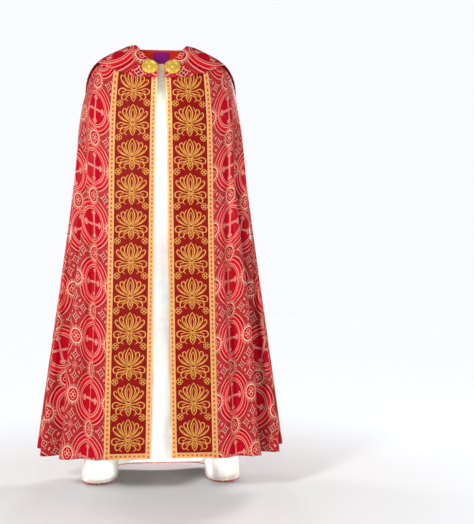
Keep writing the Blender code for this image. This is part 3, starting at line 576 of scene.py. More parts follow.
def brocadeMaterial(name, pitch, across, down):
    made, tree, shader = newMaterial(name, brocade["ground"], brocade["roughness"],
                                     gloss=brocade["gloss"])
    x = ((cutField(tree, 0) - across) * (1 / pitch)).folded()
    y = ((cutField(tree, 1) - down) * (1 / pitch)).folded()
    far, near = x.largest(y), x.smallest(y)
    radius = radiusOf(x, y)
    a, b = (far * -1.0) + 0.5, (near * -1.0) + 0.5
    small = radiusOf(a, near)
    low, high = brocade["outerRing"]
    disc = brocade["smallDisc"]

    outside = radius.under(high) * -1.0 + 1.0
    inHalo = small.under(brocade["halo"], brocade["haloSoft"])
    inSmall = small.under(disc)
    notSmall = small.under(disc + brocade["smallGap"]) * -1.0 + 1.0
    clear = inHalo * -brocade["haloThins"] + 1.0
    corners, petals = cornerLines(a, b)
    lines = roundelLines(far, near, radius).largest(corners * outside) * clear * notSmall
    lines = lines.largest(smallLines(a, near, small) * inSmall)
    ray = near.calc("ARCTAN2", a).wave(brocade["haloRays"]) * 0.5 + 0.5
    fade = (small - disc) * (-1.0 / (brocade["halo"] - disc)) + 1.0
    least, most = brocade["haloShow"]
    halo = inHalo * (inSmall * -1.0 + 1.0) * ray * (fade.largest(0.0) * (most - least) + least)
    pale = small.line(disc, brocade["smallLine"]).largest(halo)
    dash = near.calc("ARCTAN2", far).wave(brocade["dashes"]).under(0.1, 0.3)
    dash = dash * radius.line((low + high) / 2, brocade["dashHalf"]) * notSmall
    # two sets of thin bars, crossed, fill what is left of the corner
    at, half = brocade["trellisBar"]
    bars = ((far + near) * brocade["trellis"]).folded().line(at, half)
    bars = bars.largest(((far - near) * brocade["trellis"]).folded().line(at, half))
    trellis = bars * outside * clear * notSmall * (petals * -1.0 + 1.0)
    inBand = radius.under(low) * (radius.under(brocade["innerRing"][1]) * -1.0 + 1.0)

    colour = mixColours(tree, brocade["ground"], brocade["cornerColour"], outside * notSmall)
    colour = mixColours(tree, colour, brocade["bandColour"], inBand * notSmall)
    colour = mixColours(tree, colour, brocade["thread"], trellis * brocade["trellisShow"])
    inPetals = petals * outside * clear * notSmall * brocade["petalShow"]
    colour = mixColours(tree, colour, brocade["dark"], inPetals)
    colour = mixColours(tree, colour, brocade["dark"], dash * brocade["dashShow"])
    slub = noiseField(tree, brocade["slubRate"], 4.0)
    thread = mixColours(tree, brocade["thread"], brocade["pale"], slub * brocade["paleSlub"])
    colour = mixColours(tree, colour, thread, lines)
    colour = mixColours(tree, colour, brocade["pale"], pale)
    colour = mixColours(tree, colour, brocade["dark"], slub * brocade["slub"])
    tree.links.new(colour, shader.inputs["Base Color"])
    raised = lines.largest(pale)
    rough = raised * brocade["threadRoughness"] + brocade["roughness"]
    tree.links.new(rough.socket, shader.inputs["Roughness"])
    weave = cutField(tree, 0).wave(brocade["weave"]) * cutField(tree, 1).wave(brocade["weave"])
    rate, height = brocade["crinkle"]
    relief = raised + weave * brocade["weaveHeight"] + noiseField(tree, rate, 2.0) * height
    addBump(tree, shader, relief, brocade["relief"], brocade["reliefStrength"])
    return made


# What each material is called, and its colour.
finishes = {
    "lining": ("lining", (0.92, 0.875, 0.81)), "facing": ("facing", (0.95, 0.040, 0.008)),
    "label": ("label", (0.36, 0.018, 0.27)), "velvet": ("dark red cloth", (0.300, 0.0010, 0.0020)),
    "galloon": ("galloon", (0.92, 0.420, 0.125)), "bead": ("galloon edge", (1.00, 0.78, 0.50)),
    "dot": ("galloon dots", (0.72, 0.060, 0.008)), "ring": ("roundel cord", (0.95, 0.430, 0.040)),
    "goldThread": ("gold embroidery", (1.00, 0.520, 0.110)),
    "silk": ("tassel silk", (0.85, 0.400, 0.020)), "gold": ("gold plating", (1.0, 0.66, 0.10)),
    "steel": ("pale gold links", (0.86, 0.70, 0.42)),
}
wovenTable = (
    # finish, roughness, threads' rate, their height in metres, unevenness of the colour
    ("lining", 0.62, 2600.0, 0.00008, 0.03), ("facing", 0.42, 2200.0, 0.00010, 0.12),
    ("label", 0.50, 2200.0, 0.00010, 0.12), ("velvet", 0.60, 2400.0, 0.00015, 0.10),
    ("galloon", 0.40, 1800.0, 0.00020, 0.06),
)
threadTable = (
    # finish, metallic, roughness
    ("bead", 0.15, 0.34), ("dot", 0.05, 0.34), ("goldThread", 0.15, 0.34), ("ring", 0.15, 0.34),
    ("silk", 0.10, 0.38),
)
platedTable = (
    # finish, metallic, rate of the wear, least roughness, how much it varies
    ("gold", 0.6, 300.0, 0.18, 0.22), ("steel", 0.6, 400.0, 0.16, 0.20),
)
clothFinish = {"gloss": 0.15, "unevenRate": 35.0, "weaveStrength": 0.5}
metalFinish = {"wearHeight": 0.0002, "wearStrength": 0.4}
# the shade factor darkens the grooves between the thread ridges: painted shade
threadRidges = {"rate": 7000.0, "height": 0.0002, "strength": 0.6, "paintedGrooveShade": 0.72, "show": 0.4,
                "noise": 60.0, "noiseShow": 0.7}


def woven(finish, roughness, rate, height, tint):
    # Plain woven cloth with a slightly uneven colour.
    name, colour = finishes[finish]
    made, tree, shader = newMaterial(name, colour, roughness, gloss=clothFinish["gloss"])
    darker = tuple(c * (1 - tint * 2) for c in colour)
    noise = noiseField(tree, clothFinish["unevenRate"])
    uneven = mixColours(tree, colour, darker, noise)
    tree.links.new(uneven, shader.inputs["Base Color"])
    weave = cutField(tree, 0).wave(rate) * cutField(tree, 1).wave(rate)
    addBump(tree, shader, weave, height, clothFinish["weaveStrength"])
    return made


def threadMaterial(finish, metallic, roughness):
    # Wound or embroidered thread: fine slanting ridges with painted shade in the grooves between
    # them, and a lively colour.
    name, colour = finishes[finish]
    made, tree, shader = newMaterial(name, colour, roughness, metallic)
    coordinate = tree.nodes.new("ShaderNodeTexCoord")
    parts = tree.nodes.new("ShaderNodeSeparateXYZ")
    tree.links.new(coordinate.outputs["Object"], parts.inputs[0])
    slant = Field(tree, parts.outputs[0]) + Field(tree, parts.outputs[2])
    ridges = slant.wave(threadRidges["rate"]) * 0.5 + 0.5
    # painted shade: the grooves between the ridges, low in the bump, are darkened in the colour
    darker = tuple(c * threadRidges["paintedGrooveShade"] for c in colour)
    lively = noiseField(tree, threadRidges["noise"]) * threadRidges["noiseShow"]
    paintedGrooveShade = mixColours(tree, darker, colour, ridges * threadRidges["show"] + lively)
    tree.links.new(paintedGrooveShade, shader.inputs["Base Color"])
    addBump(tree, shader, ridges, threadRidges["height"], threadRidges["strength"])
    return made


def plated(finish, metallic, rate, least, varies):
    # Metal whose polish is a little worn; the larger discs show it as relief too.
    name, colour = finishes[finish]
    made, tree, shader = newMaterial(name, colour, least, metallic)
    wear = noiseField(tree, rate)
    tree.links.new((wear * varies + least).socket, shader.inputs["Roughness"])
    if finish == "gold":
        addBump(tree, shader, wear, metalFinish["wearHeight"], metalFinish["wearStrength"])
    return made


def makeMaterials():
    pitch = cut["bodyPitch"]
    made = {"brocadeBack": brocadeMaterial("brocade back", pitch, 0.0, backPhase),
            "brocadeFront": brocadeMaterial("brocade front", pitch, *frontPhase),
            "brocadeHood": brocadeMaterial("brocade hood", cut["hoodPitch"], 0.0, hoodPhase)}
    for make, table in ((woven, wovenTable), (threadMaterial, threadTable), (plated, platedTable)):
        for row in table:
            made[row[0]] = make(*row)
    return made


# Where each pattern starts on its cut.
leftBack = cutPoints(leftHalf, False)
leftFront = cutPoints(leftHalf, True)
backPhase = leftBack[-1, 0, 1] + cut["backAboveHem"]
insetColumn = leftHalf.shape[1] - 1 - drape["stripColumns"]
frontPlace = leftFront[:, insetColumn]
frontAt = np.interp(-cut["frontRow"], -leftHalf[:, insetColumn, 2], np.arange(len(levels)))
frontPhase = (frontPlace[int(frontAt), 0] + cut["bodyPitch"] / 2, frontPlace[int(frontAt), 1])
hoodPhase = cut["hoodStart"]
materials = makeMaterials()
print("materials made:", len(materials))


def clothBody():
    top = walls["cape"] + seam
    outer = capeGrid
    inner = outer - capeNormals * walls["cape"]
    rightBack = leftBack[:, ::-1] * np.array((-1.0, 1.0))
    rightFront = leftFront[:, ::-1] * np.array((-1.0, 1.0))
    back = np.concatenate((rightBack[:, :-1], leftBack), axis=1)
    front = np.concatenate((rightFront[:, :-1], leftFront), axis=1)
    share = lengthsAlong(leftHalf[-1])
    share = share / share[-1]
    isFront = share > cut["valleyShare"]
    isFront = np.concatenate((isFront[::-1][:-1], isFront))
    cape = clothWall("cape_cloth", outer, inner, materials["brocadeBack"], back, front, isFront)
    cape.data.materials.append(materials["brocadeFront"])
    columns = outer.shape[1]
    size = outer.shape[0] * columns
    slots = np.zeros(len(cape.data.polygons), np.int32)
    for number, polygon in enumerate(cape.data.polygons):
        slots[number] = all(isFront[(v % size) % columns] for v in polygon.vertices)
    cape.data.polygons.foreach_set("material_index", slots)
    fix(cape, ["cape"])

    # the lining stops short of the hem; the facing covers its top
    skin = outer - capeNormals * top
    under = outer - capeNormals * (top + walls["lining"])
    seamRow = int(np.argmin(np.abs(levels - drape["facingDepth"])))
    for grid in (skin, under):
        grid[-1] += (grid[-2] - grid[-1]) * drape["liningShort"]
    last = len(levels) - 1
    rows = np.unique(np.append(np.arange(seamRow, last + 1, drape["liningRows"]), last))
    lining = clothWall("lining_cloth", skin[rows], under[rows], materials["lining"], back[rows])
    fix(lining, ["lining"])
    facing = clothWall("neck_facing_cloth", skin[:seamRow + 1].copy(), under[:seamRow + 1].copy(),
                       materials["facing"], back[:seamRow + 1])
    fix(facing, ["neck_facing"])


labelSizes = {"width": 0.058, "height": 0.042, "drop": 0.006, "across": 24, "down": 20,
              "reach": 40}  # columns of the cape on each side that it may cover


def labelCloth():
    depth = walls["cape"] + walls["lining"] + 2 * seam
    down = lengthsAlong(capeGrid[:, middleColumn])
    top = labelSizes["drop"]
    near = slice(middleColumn - labelSizes["reach"], middleColumn + labelSizes["reach"] + 1)
    grids = [[], []]
    for part in np.linspace(0, 1, labelSizes["down"]):
        row = np.interp(top + labelSizes["height"] * part, down, np.arange(len(down)))
        first = int(row)
        t = row - first
        line = capeGrid[first] * (1 - t) + capeGrid[first + 1] * t
        normal = capeNormals[first] * (1 - t) + capeNormals[first + 1] * t
        xs = np.linspace(-labelSizes["width"] / 2, labelSizes["width"] / 2, labelSizes["across"])
        for grid, lift in zip(grids, (depth, depth + walls["label"])):
            shifted = (line - normal * lift)[near]
            grid.append([[x, *(np.interp(x, shifted[:, 0], shifted[:, k]) for k in (1, 2))]
                         for x in xs])
    outer, inner = np.array(grids[0]), np.array(grids[1])
    piece = clothWall("label_cloth", outer, inner, materials["label"], outer[:, :, (0, 2)])
    fix(piece, ["label"])


clothBody()
labelCloth()
print("cape, lining and facing made")


hood = {
    "columns": 110, "rows": 76, "ringRun": 0.32, "spread": (0.15, 0.108), "lift": (0.0050, 0.0064),
    "clear": 0.0010, "rise": 0.25, "flare": (0.007, 0.40, 0.10), "tipDrop": 0.384,
    "frontShare": 0.50,
}
hoodEdgeTable = (
    # share of the half ring, level, metres below the chest
    (0.000, 5.00, 0.384), (0.040, 5.00, 0.362), (0.155, 5.00, 0.272), (0.265, 5.00, 0.190),
    (0.315, 5.00, 0.136), (0.350, 5.00, 0.092), (0.400, 5.00, 0.034), (0.435, 5.00, 0.000),
    (0.480, 4.20, 0.000), (0.515, 3.40, 0.000), (0.560, 3.10, 0.000), (0.675, 3.40, 0.000),
    (0.850, 3.50, 0.000), (1.000, 3.25, 0.000),
)


def hoodHalf():
    table = np.array(hoodEdgeTable)
    half = []
    width, back = ringTable[chest][:2]
    for share in np.linspace(0, 1, hood["columns"] + 1):
        level, below = (np.interp(share, table[:, 0], table[:, k]) for k in (1, 2))
        rings = np.array([onRing(r, [share]) for r in range(chest + 1)])
        hem = rings[-1] + np.array((0.0, 0.0, -1.0))
        column = []
        length = level / chest + below / hood["ringRun"]
        for part in np.linspace(0, 1, hood["rows"] + 1):
            at = part * length
            point = clothPoints((rings, hem), [min(at, level / chest) * chest])[0, 0]
            drop = max(0.0, at - level / chest) * hood["ringRun"]
            spread = np.array((hood["spread"][0] * point[0] / width,
                               hood["spread"][1] * point[1] / back, -1.0))
            column.append(point + spread * drop)
        half.append(column)
    return np.array(half).transpose(1, 0, 2)


def hoodGrids():
    half = hoodHalf()
    grid = np.concatenate((mirrored(half[:, :0:-1]), half), axis=1)
    rows, columns = grid.shape[:2]
    normal = normalsOf(grid)
    drop = np.clip((chestBack - grid[:, :, 2]) / hood["tipDrop"], 0, 1)
    down = np.linspace(0, 1, rows)[:, None] * np.ones((1, columns))
    rise = np.clip(down / hood["rise"], 0, 1)
    share = np.abs(np.linspace(-1, 1, columns))
    height, middle, width = hood["flare"]
    corner = np.exp(-((share - middle) / width) ** 2)[None, :] * down ** 2
    lift = hood["clear"] + hood["lift"][0] * rise + hood["lift"][1] * drop + height * corner
    inner = grid + normal * lift[:, :, None]
    return inner, inner + normal * walls["hood"]


def hoodCut(outer):
    # The back lies upright; round the front the pattern turns with the neck.
    rows, columns = outer.shape[:2]
    middle = columns // 2
    share = np.linspace(-1, 1, columns)
    flatRows = outer * np.array((1.0, 1.0, 0.0))
    across = np.array([lengthsAlong(row) - lengthsAlong(row)[middle] for row in flatRows])
    spine = outer[:, middle]
    fallen = lengthsAlong(spine)
    height = np.interp(-outer[:, :, 2], -spine[:, 2], fallen)
    height -= np.maximum(outer[:, :, 2] - spine[0, 2], 0.0)
    upright = np.stack((across, spine[-1, 2] + fallen[-1] - height), -1)
    down = np.concatenate((np.zeros((1, columns)),
                           np.cumsum(np.linalg.norm(np.diff(outer, axis=0), axis=2), axis=0)))
    radius = cut["neckRadius"] + down
    angle = share[None, :] * cut["halfAngle"] * np.ones((rows, 1))
    turned = np.stack((radius * np.sin(angle), -radius * np.cos(angle)), -1)
    return upright, turned, np.abs(share) > hood["frontShare"]


def makeHood():
    inner, outer = hoodGrids()
    piece = clothWall("hood_cloth", outer, inner, materials["brocadeHood"], *hoodCut(outer))
    fix(piece, ["hood"])
    return outer


hoodOuter = makeHood()
print("hood made")


# Flat work is drawn in a guide's own plane and laid on it: across, down and height.
guideScale = 0.25  # a guide's map stays inside one unit


def guide(name, grid, flat):
    rows, columns = grid.shape[:2]
    mesh = bpy.data.meshes.new(name)
    faces = gridFaces(rows, columns)
    mesh.from_pydata(grid.reshape(-1, 3).tolist(), [], faces.tolist())
    mesh.update()
    setUvs(mesh, (flat.reshape(-1, 2) * guideScale + 0.5)[faces].reshape(-1, 2), "plane")
    made = bpy.data.objects.new(name, mesh)
    scene.collection.objects.link(made)
    made.hide_render = True
    return made


def stripGuide(hand):
    insets = np.linspace(strip["width"], 0, strip["guideColumns"])
    downTo = np.linspace(strip["firstRing"], chest + 1, strip["rows"])
    grid = clothPoints(stripColumns(insets), downTo)
    along = lengthsAlong(grid[:, strip["guideColumns"] // 2])
    flat = np.stack(np.meshgrid(insets, -along), -1)
    if hand < 0:
        grid = mirrored(grid)
        return guide("guide right", grid[:, ::-1], flat[:, ::-1] * np.array((-1.0, 1.0))), along
    return guide("guide left", grid, flat), along


def layTree():
    # Motifs repeated along a path in the plane, then laid on the guide's surface.
    tree = bpy.data.node_groups.new("lay along", "GeometryNodeTree")
    face = tree.interface
    face.new_socket("Path", in_out="INPUT", socket_type="NodeSocketGeometry")
    for name, kind in (("Motif", "NodeSocketObject"), ("Surface", "NodeSocketObject"),
                       ("Pitch", "NodeSocketFloat"), ("Lift", "NodeSocketFloat"),
                       ("Material", "NodeSocketMaterial"), ("Upright", "NodeSocketBool")):
        face.new_socket(name, in_out="INPUT", socket_type=kind)
    face.new_socket("Geometry", in_out="OUTPUT", socket_type="NodeSocketGeometry")
    nodes, links = tree.nodes, tree.links

    def add(kind, **values):
        made = nodes.new(kind)
        for key, value in values.items():
            setattr(made, key, value)
        return made

    source, result = add("NodeGroupInput"), add("NodeGroupOutput")
    asCurve = add("GeometryNodeMeshToCurve")
    spaced = add("GeometryNodeResampleCurve", mode="LENGTH")
    tangent = add("GeometryNodeInputTangent")
    aim = add("FunctionNodeAlignRotationToVector", axis="X")
    pick = add("GeometryNodeSwitch", input_type="ROTATION")
    motif = add("GeometryNodeObjectInfo")
    motif.transform_space = "ORIGINAL"
    copies = add("GeometryNodeInstanceOnPoints")
    realized = add("GeometryNodeRealizeInstances")
    surface = add("GeometryNodeObjectInfo")
    place = add("GeometryNodeInputPosition")
    parts = add("ShaderNodeSeparateXYZ")
    flat = add("ShaderNodeCombineXYZ")
    toPlane = add("ShaderNodeVectorMath", operation="MULTIPLY_ADD")
    toPlane.inputs[1].default_value = (guideScale,) * 3
    toPlane.inputs[2].default_value = (0.5, 0.5, 0.0)
    planeMap = add("GeometryNodeInputNamedAttribute", data_type="FLOAT_VECTOR")
    planeMap.inputs["Name"].default_value = "plane"
    spot = add("GeometryNodeSampleUVSurface", data_type="FLOAT_VECTOR")
    lean = add("GeometryNodeSampleUVSurface", data_type="FLOAT_VECTOR")
    ownPlace = add("GeometryNodeInputPosition")
    ownNormal = add("GeometryNodeInputNormal")
    height = add("ShaderNodeMath", operation="ADD")
    raised = add("ShaderNodeVectorMath", operation="SCALE")
    summed = add("ShaderNodeVectorMath", operation="ADD")
    moved = add("GeometryNodeSetPosition")
    painted = add("GeometryNodeSetMaterial")

    links.new(source.outputs["Path"], asCurve.inputs["Mesh"])
    links.new(asCurve.outputs["Curve"], spaced.inputs["Curve"])
    links.new(source.outputs["Pitch"], spaced.inputs["Length"])
    links.new(spaced.outputs["Curve"], copies.inputs["Points"])
    links.new(tangent.outputs["Tangent"], aim.inputs["Vector"])
    links.new(source.outputs["Upright"], pick.inputs["Switch"])
    links.new(aim.outputs["Rotation"], pick.inputs["False"])
    links.new(pick.outputs["Output"], copies.inputs["Rotation"])
    links.new(source.outputs["Motif"], motif.inputs["Object"])
    links.new(motif.outputs["Geometry"], copies.inputs["Instance"])
    links.new(copies.outputs["Instances"], realized.inputs["Geometry"])
    links.new(source.outputs["Surface"], surface.inputs["Object"])
    links.new(place.outputs["Position"], parts.inputs[0])
    links.new(parts.outputs[0], flat.inputs[0])
    links.new(parts.outputs[1], flat.inputs[1])
    links.new(flat.outputs[0], toPlane.inputs[0])
    for sample, value in ((spot, ownPlace.outputs[0]), (lean, ownNormal.outputs[0])):
        links.new(surface.outputs["Geometry"], sample.inputs["Mesh"])
        links.new(value, sample.inputs["Value"])
        links.new(planeMap.outputs["Attribute"], sample.inputs["UV Map"])
        links.new(toPlane.outputs[0], sample.inputs["Sample UV"])
    links.new(parts.outputs[2], height.inputs[0])
    links.new(source.outputs["Lift"], height.inputs[1])
    links.new(lean.outputs["Value"], raised.inputs[0])
    links.new(height.outputs[0], raised.inputs["Scale"])
    links.new(spot.outputs["Value"], summed.inputs[0])
    links.new(raised.outputs[0], summed.inputs[1])
    links.new(realized.outputs["Geometry"], moved.inputs["Geometry"])
    links.new(summed.outputs[0], moved.inputs["Position"])
    links.new(moved.outputs["Geometry"], painted.inputs["Geometry"])
    links.new(source.outputs["Material"], painted.inputs["Material"])
    links.new(painted.outputs["Geometry"], result.inputs[0])
    return tree


layAlong = layTree()


def setInputs(modifier, values):
    for item in modifier.node_group.interface.items_tree:
        if item.item_type == "SOCKET" and item.in_out == "INPUT" and item.name in values:
            modifier[item.identifier] = values[item.name]


def pathObject(points):
    mesh = bpy.data.meshes.new("path")
    edges = [(k, k + 1) for k in range(len(points) - 1)]
    mesh.from_pydata([(x, y, 0.0) for x, y in points], edges, [])
    made = bpy.data.objects.new("path", mesh)
    scene.collection.objects.link(made)
    return made


def laid(name, paths, motif, surface, pitch, lift, material, upright=False):
    # One plain mesh of the motif along every path.
    meshes = []
    for path in paths:
        carrier = pathObject(path)
        modifier = carrier.modifiers.new("lay", "NODES")
        modifier.node_group = layAlong
        # a hair less than the pitch, so that the last place isn't lost to rounding
        setInputs(modifier, {"Motif": motif, "Surface": surface, "Pitch": pitch * 0.9999,
                             "Lift": lift, "Material": material, "Upright": upright})
        graph = bpy.context.evaluated_depsgraph_get()
        meshes.append(bpy.data.meshes.new_from_object(carrier.evaluated_get(graph)))
        bpy.data.objects.remove(carrier)
    joined = bmesh.new()
    for mesh in meshes:
        joined.from_mesh(mesh)
    result = bpy.data.meshes.new(name)
    joined.to_mesh(result)
    joined.free()
    return addObject(name, result, material)


def motifObject(name, vertices, faces):
    mesh = bpy.data.meshes.new(name)
    mesh.from_pydata([tuple(v) for v in vertices], [], faces)
    turnOut(mesh)
    made = bpy.data.objects.new(name, mesh)
    scene.collection.objects.link(made)
    made.hide_render = True
    return made


def smoothLine(points, count):
    points = np.array(points, float)
    if len(points) == 2:
        return points[0] + (points[1] - points[0]) * np.linspace(0, 1, count)[:, None]
    ends = np.vstack((points[0] * 2 - points[1], points, points[-1] * 2 - points[-2]))
    line = []
    for at in np.linspace(0, len(points) - 1, count):
        first = min(int(at), len(points) - 2)
        t = at - first
        a, b, c, d = ends[first:first + 4]
        line.append(0.5 * (2 * b + (c - a) * t + (2 * a - 5 * b + 4 * c - d) * t * t
                           + (3 * b - a - 3 * c + d) * t ** 3))
    return np.array(line)


# Padded satin stitch, drawn in millimetres: a stroke's places and height, and its taper.
stitch = {"unit": 0.001, "spacing": 2.6, "least": 8, "height": 0.0011, "widen": 1.3,
          "taper": (0.86, 0.07), "thinnest": 0.3}
strokeSection = ((-1, 0.0), (-0.55, 0.8), (0.0, 1.0), (0.55, 0.8), (1, 0.0))


def strokes(table, spacing=stitch["spacing"]):
    # Domed strokes, thin at the ends, and their mirror images. Each row: points, widest width.
    vertices, faces = [], []
    for points, width in table:
        reach = lengthsAlong(np.array(points, float))[-1]
        count = max(stitch["least"], int(reach / spacing) + 2)
        long, shift = stitch["taper"]
        taper = np.sin(math.pi * (np.linspace(0, 1, count) * long + shift)) ** 0.5
        half = width * stitch["widen"] * stitch["unit"] / 2 * np.clip(taper, stitch["thinnest"], 1)
        for hand in (1, -1):
            line = smoothLine(points, count) * stitch["unit"]
            line[:, 0] *= hand
            if hand < 0 and np.abs(line[:, 0]).max() < 1e-6:
                continue
            way = np.gradient(line, axis=0)
            way /= np.linalg.norm(way, axis=1, keepdims=True)
            side = np.stack((-way[:, 1], way[:, 0]), -1)
            first = len(vertices)
            for k in range(count):
                rim = side[k] * half[k]
                for share, lift in strokeSection:
                    vertices.append((*(line[k] + rim * share), stitch["height"] * lift))
            for k in range(count - 1):
                for j in range(4):
                    a = first + k * 5 + j
                    faces.append((a, a + 5, a + 6, a + 1))
                faces.append((first + k * 5, first + k * 5 + 4, first + k * 5 + 9,
                              first + k * 5 + 5))
            faces.append(tuple(first + j for j in range(5)))
            last = first + (count - 1) * 5
            faces.append(tuple(last + j for j in range(4, -1, -1)))
    return vertices, faces


def dome(width, length, height, sides):
    vertices = [(0.0, 0.0, height)]
    for radius, lift in ((0.6, 0.8), (1.0, 0.0)):
        for k in range(sides):
            angle = 2 * math.pi * k / sides
            vertices.append((length / 2 * radius * math.cos(angle),
                             width / 2 * radius * math.sin(angle), height * lift))
    faces = []
    for k in range(sides):
        n = (k + 1) % sides
        faces.append((0, 1 + k, 1 + n))
        faces.append((1 + k, 1 + sides + k, 1 + sides + n, 1 + n))
    faces.append(tuple(1 + sides + k for k in range(sides - 1, -1, -1)))
    return vertices, faces


# Dots and beads: width, length and height, with the number of sides.
galloonParts = {"dot": (0.0062, 0.0085, 0.0007, 10), "bead": (0.0026, 0.0032, 0.0008, 8),
                "dotPitch": 0.0145, "beadPitch": 0.0034, "beadInset": 0.0017,
                "dotEnds": (0.010, 0.006), "beadEnds": (0.004, 0.003)}
orphrey = {"pitch": 0.1135, "first": 0.0735, "clearFoot": 0.03, "quatrefoilAfter": 0.0568,
           "quatrefoilAside": 0.045, "quatrefoilSpacing": 1.6}

# A lily palmette on two scrolls. Points are millimetres from the middle, x across and y
# up, drawn for one side, with the widest width of the stroke.
palmetteTable = (
    (((0, -6), (8, 10), (11, 26), (6, 42), (0, 52)), 2.9),       # middle petal
    (((0, -4), (4, 12), (5, 26), (0, 38)), 2.2),
    (((3, -5), (14, 8), (21, 24), (18, 38), (12, 46)), 2.6),     # second petal
    (((4, -7), (19, 4), (31, 20), (33, 34), (25, 38), (22, 30)), 2.8),
    (((4, -9), (22, -4), (38, 6), (47, 20), (43, 28), (37, 22)), 2.8),
    (((12, 2), (22, 12), (27, 24)), 2.0),
    (((18, -3), (31, 4), (39, 14)), 2.0),
    (((-10, -11), (0, -13), (10, -11)), 3.4),                    # band
    (((3, -15), (20, -14), (38, -8), (50, -14), (49, -26), (38, -28), (35, -20)), 2.9),
    (((3, -17), (16, -22), (32, -26), (40, -36), (35, -46), (26, -42)), 2.8),
    (((2, -17), (10, -28), (21, -34), (25, -44), (18, -50)), 2.5),
    (((0, -16), (7, -27), (7, -40), (0, -52)), 2.7),             # bud
    (((0, -24), (3, -32), (0, -42)), 2.0),
    (((24, -13), (31, -17), (40, -18)), 2.0),
    (((12, -22), (20, -27), (30, -34)), 1.9),
)
quatrefoilTable = (
    (((0, 1.2), (4.4, 4.6), (3.8, 8.6), (0, 10.4)), 2.2),
    (((0, -1.2), (4.4, -4.6), (3.8, -8.6), (0, -10.4)), 2.2),
    (((1.2, 0), (4.6, 4.4), (8.6, 3.8), (10.4, 0)), 2.2),
    (((1.2, 0), (4.6, -4.4), (8.6, -3.8), (10.4, 0)), 2.2),
)


def makeOrphreys():
    dot = motifObject("dot", *dome(*galloonParts["dot"]))
    bead = motifObject("bead", *dome(*galloonParts["bead"]))
    palmette = motifObject("palmette", *strokes(palmetteTable))
    quatrefoil = motifObject("quatrefoil",
                             *strokes(quatrefoilTable, orphrey["quatrefoilSpacing"]))
    half = seam / 2
    width, braid = strip["width"], strip["galloon"]
    top = {"orphrey": seam + walls["orphrey"], "galloon": seam + walls["galloon"]}
    for hand, name in ((1, "left"), (-1, "right")):
        surface, along = stripGuide(hand)
        total = along[-1]
        stripCloth(f"orphrey_{name}_cloth", width - braid - half, braid + half, hand, "velvet",
                   "orphrey", [f"orphrey_{name}"], total, 0.0, braid)
        stripCloth(f"galloon_outer_{name}_cloth", width, width - braid + half, hand, "galloon",
                   "galloon", [f"galloon_outer_{name}"], total)
        stripCloth(f"galloon_inner_{name}_cloth", braid - half, 0.0, hand, "galloon",
                   "galloon", [f"galloon_inner_{name}"], total)
        stripCloth(f"galloon_hem_{name}_cloth", width - braid - half, braid + half, hand,
                   "galloon", "galloon", [f"galloon_hem_{name}"], total, total - braid + seam)

        def at(inset, down):
            return hand * inset, -down

        mids = (width - braid / 2, braid / 2)
        edge = galloonParts["beadInset"]
        lanes = [(m + s * (braid / 2 - edge)) for m in mids for s in (1, -1)]
        first, last = galloonParts["dotEnds"]
        dots = [[at(m, first), at(m, total - last)] for m in mids]
        dots.append([at(width - braid - last, total - braid / 2),
                     at(braid + last, total - braid / 2)])
        first, last = galloonParts["beadEnds"]
        beads = [[at(lane, first), at(lane, total - last)] for lane in lanes]
        for low in (edge, braid - edge):
            beads.append([at(width - braid, total - low), at(braid, total - low)])
        for part, paths, motif in (("dot", dots, dot), ("bead", beads, bead)):
            piece = laid(f"galloon_{part}s_{name}", paths, motif, surface,
                         galloonParts[f"{part}Pitch"], top["galloon"], materials[part])
            fix(piece, [])
        # palmettes down the middle, and quatrefoils at both sides between them
        centre, start, pitch = width / 2, orphrey["first"], orphrey["pitch"]
        end = start + pitch * int((total - braid - start - orphrey["clearFoot"]) / pitch)
        shift = orphrey["quatrefoilAfter"]
        sides = [centre + side * orphrey["quatrefoilAside"] for side in (-1, 1)]
        corners = [[at(side, start + shift), at(side, end - pitch + shift)] for side in sides]
        for part, paths, motif in (("palmettes", [[at(centre, start), at(centre, end)]], palmette),
                                   ("quatrefoils", corners, quatrefoil)):
            piece = laid(f"orphrey_{part}_{name}", paths, motif, surface, pitch, top["orphrey"],
                         materials["goldThread"], True)
            fix(piece, [])
        bpy.data.objects.remove(surface)
    return dot, bead


def stripCloth(name, outerInset, innerInset, hand, finish, wall, nodes, total, start=0.0,
               foot=0.0):
    columns = strip["columns"]
    insets = np.linspace(outerInset, innerInset, columns)
    downTo = np.linspace(strip["firstRing"], chest + 1, strip["rows"])
    grid = clothPoints(stripColumns(insets), downTo)
    whole = np.linspace(strip["width"], 0, columns)
    normal = normalsOf(clothPoints(stripColumns(whole), downTo))
    along = lengthsAlong(grid[:, columns // 2])
    along = along * total / along[-1]
    length = total - foot - start
    count = max(strip["leastRows"], int(length / strip["rowLength"]))
    wanted = np.linspace(start, total - foot, count)
    rows = np.interp(wanted, along, np.arange(len(along)))
    low = np.minimum(rows.astype(int), len(along) - 2)
    t = (rows - low)[:, None, None]
    grid = grid[low] * (1 - t) + grid[low + 1] * t
    normal = normal[low] * (1 - t) + normal[low + 1] * t
    outer = grid + normal * (seam + walls[wall])
    inner = grid + normal * seam
    flat = np.stack(np.meshgrid(insets, -wanted), -1)
    if hand < 0:
        outer, inner, flat = mirrored(outer)[:, ::-1], mirrored(inner)[:, ::-1], flat[:, ::-1]
    piece = clothWall(name, outer, inner, materials[finish], flat)
    fix(piece, nodes)


dotMotif, beadMotif = makeOrphreys()
print("orphreys made")


# The cross on the hood. Its plane is the one seen from the back: across is -X and up is Z,
# both from the cross's centre.
cross = {"centre": -0.2325, "arm": 0.1940, "waist": 0.0520, "end": 0.0645, "curve": 1.6,
         "galloon": 0.0160, "ring": (0.0605, 0.0695), "disc": 0.0599, "lift": 0.0014,
         "dotPitch": 0.0118, "clear": 0.0009, "cord": (0.0006, 0.0016),
         "fieldDip": 0.0072, "fieldShare": 0.85, "fieldRows": 30, "fieldColumns": 20,
         "flankSteps": 24, "endSteps": 14, "flankBlend": 6, "galloonRows": 5,
         "motifSteps": 40, "motifRows": (0.5, 0.10, 0.90), "discRows": 14, "ringRows": 9,
         "turnSteps": 96, "guideReach": 0.200, "guideSteps": 90}

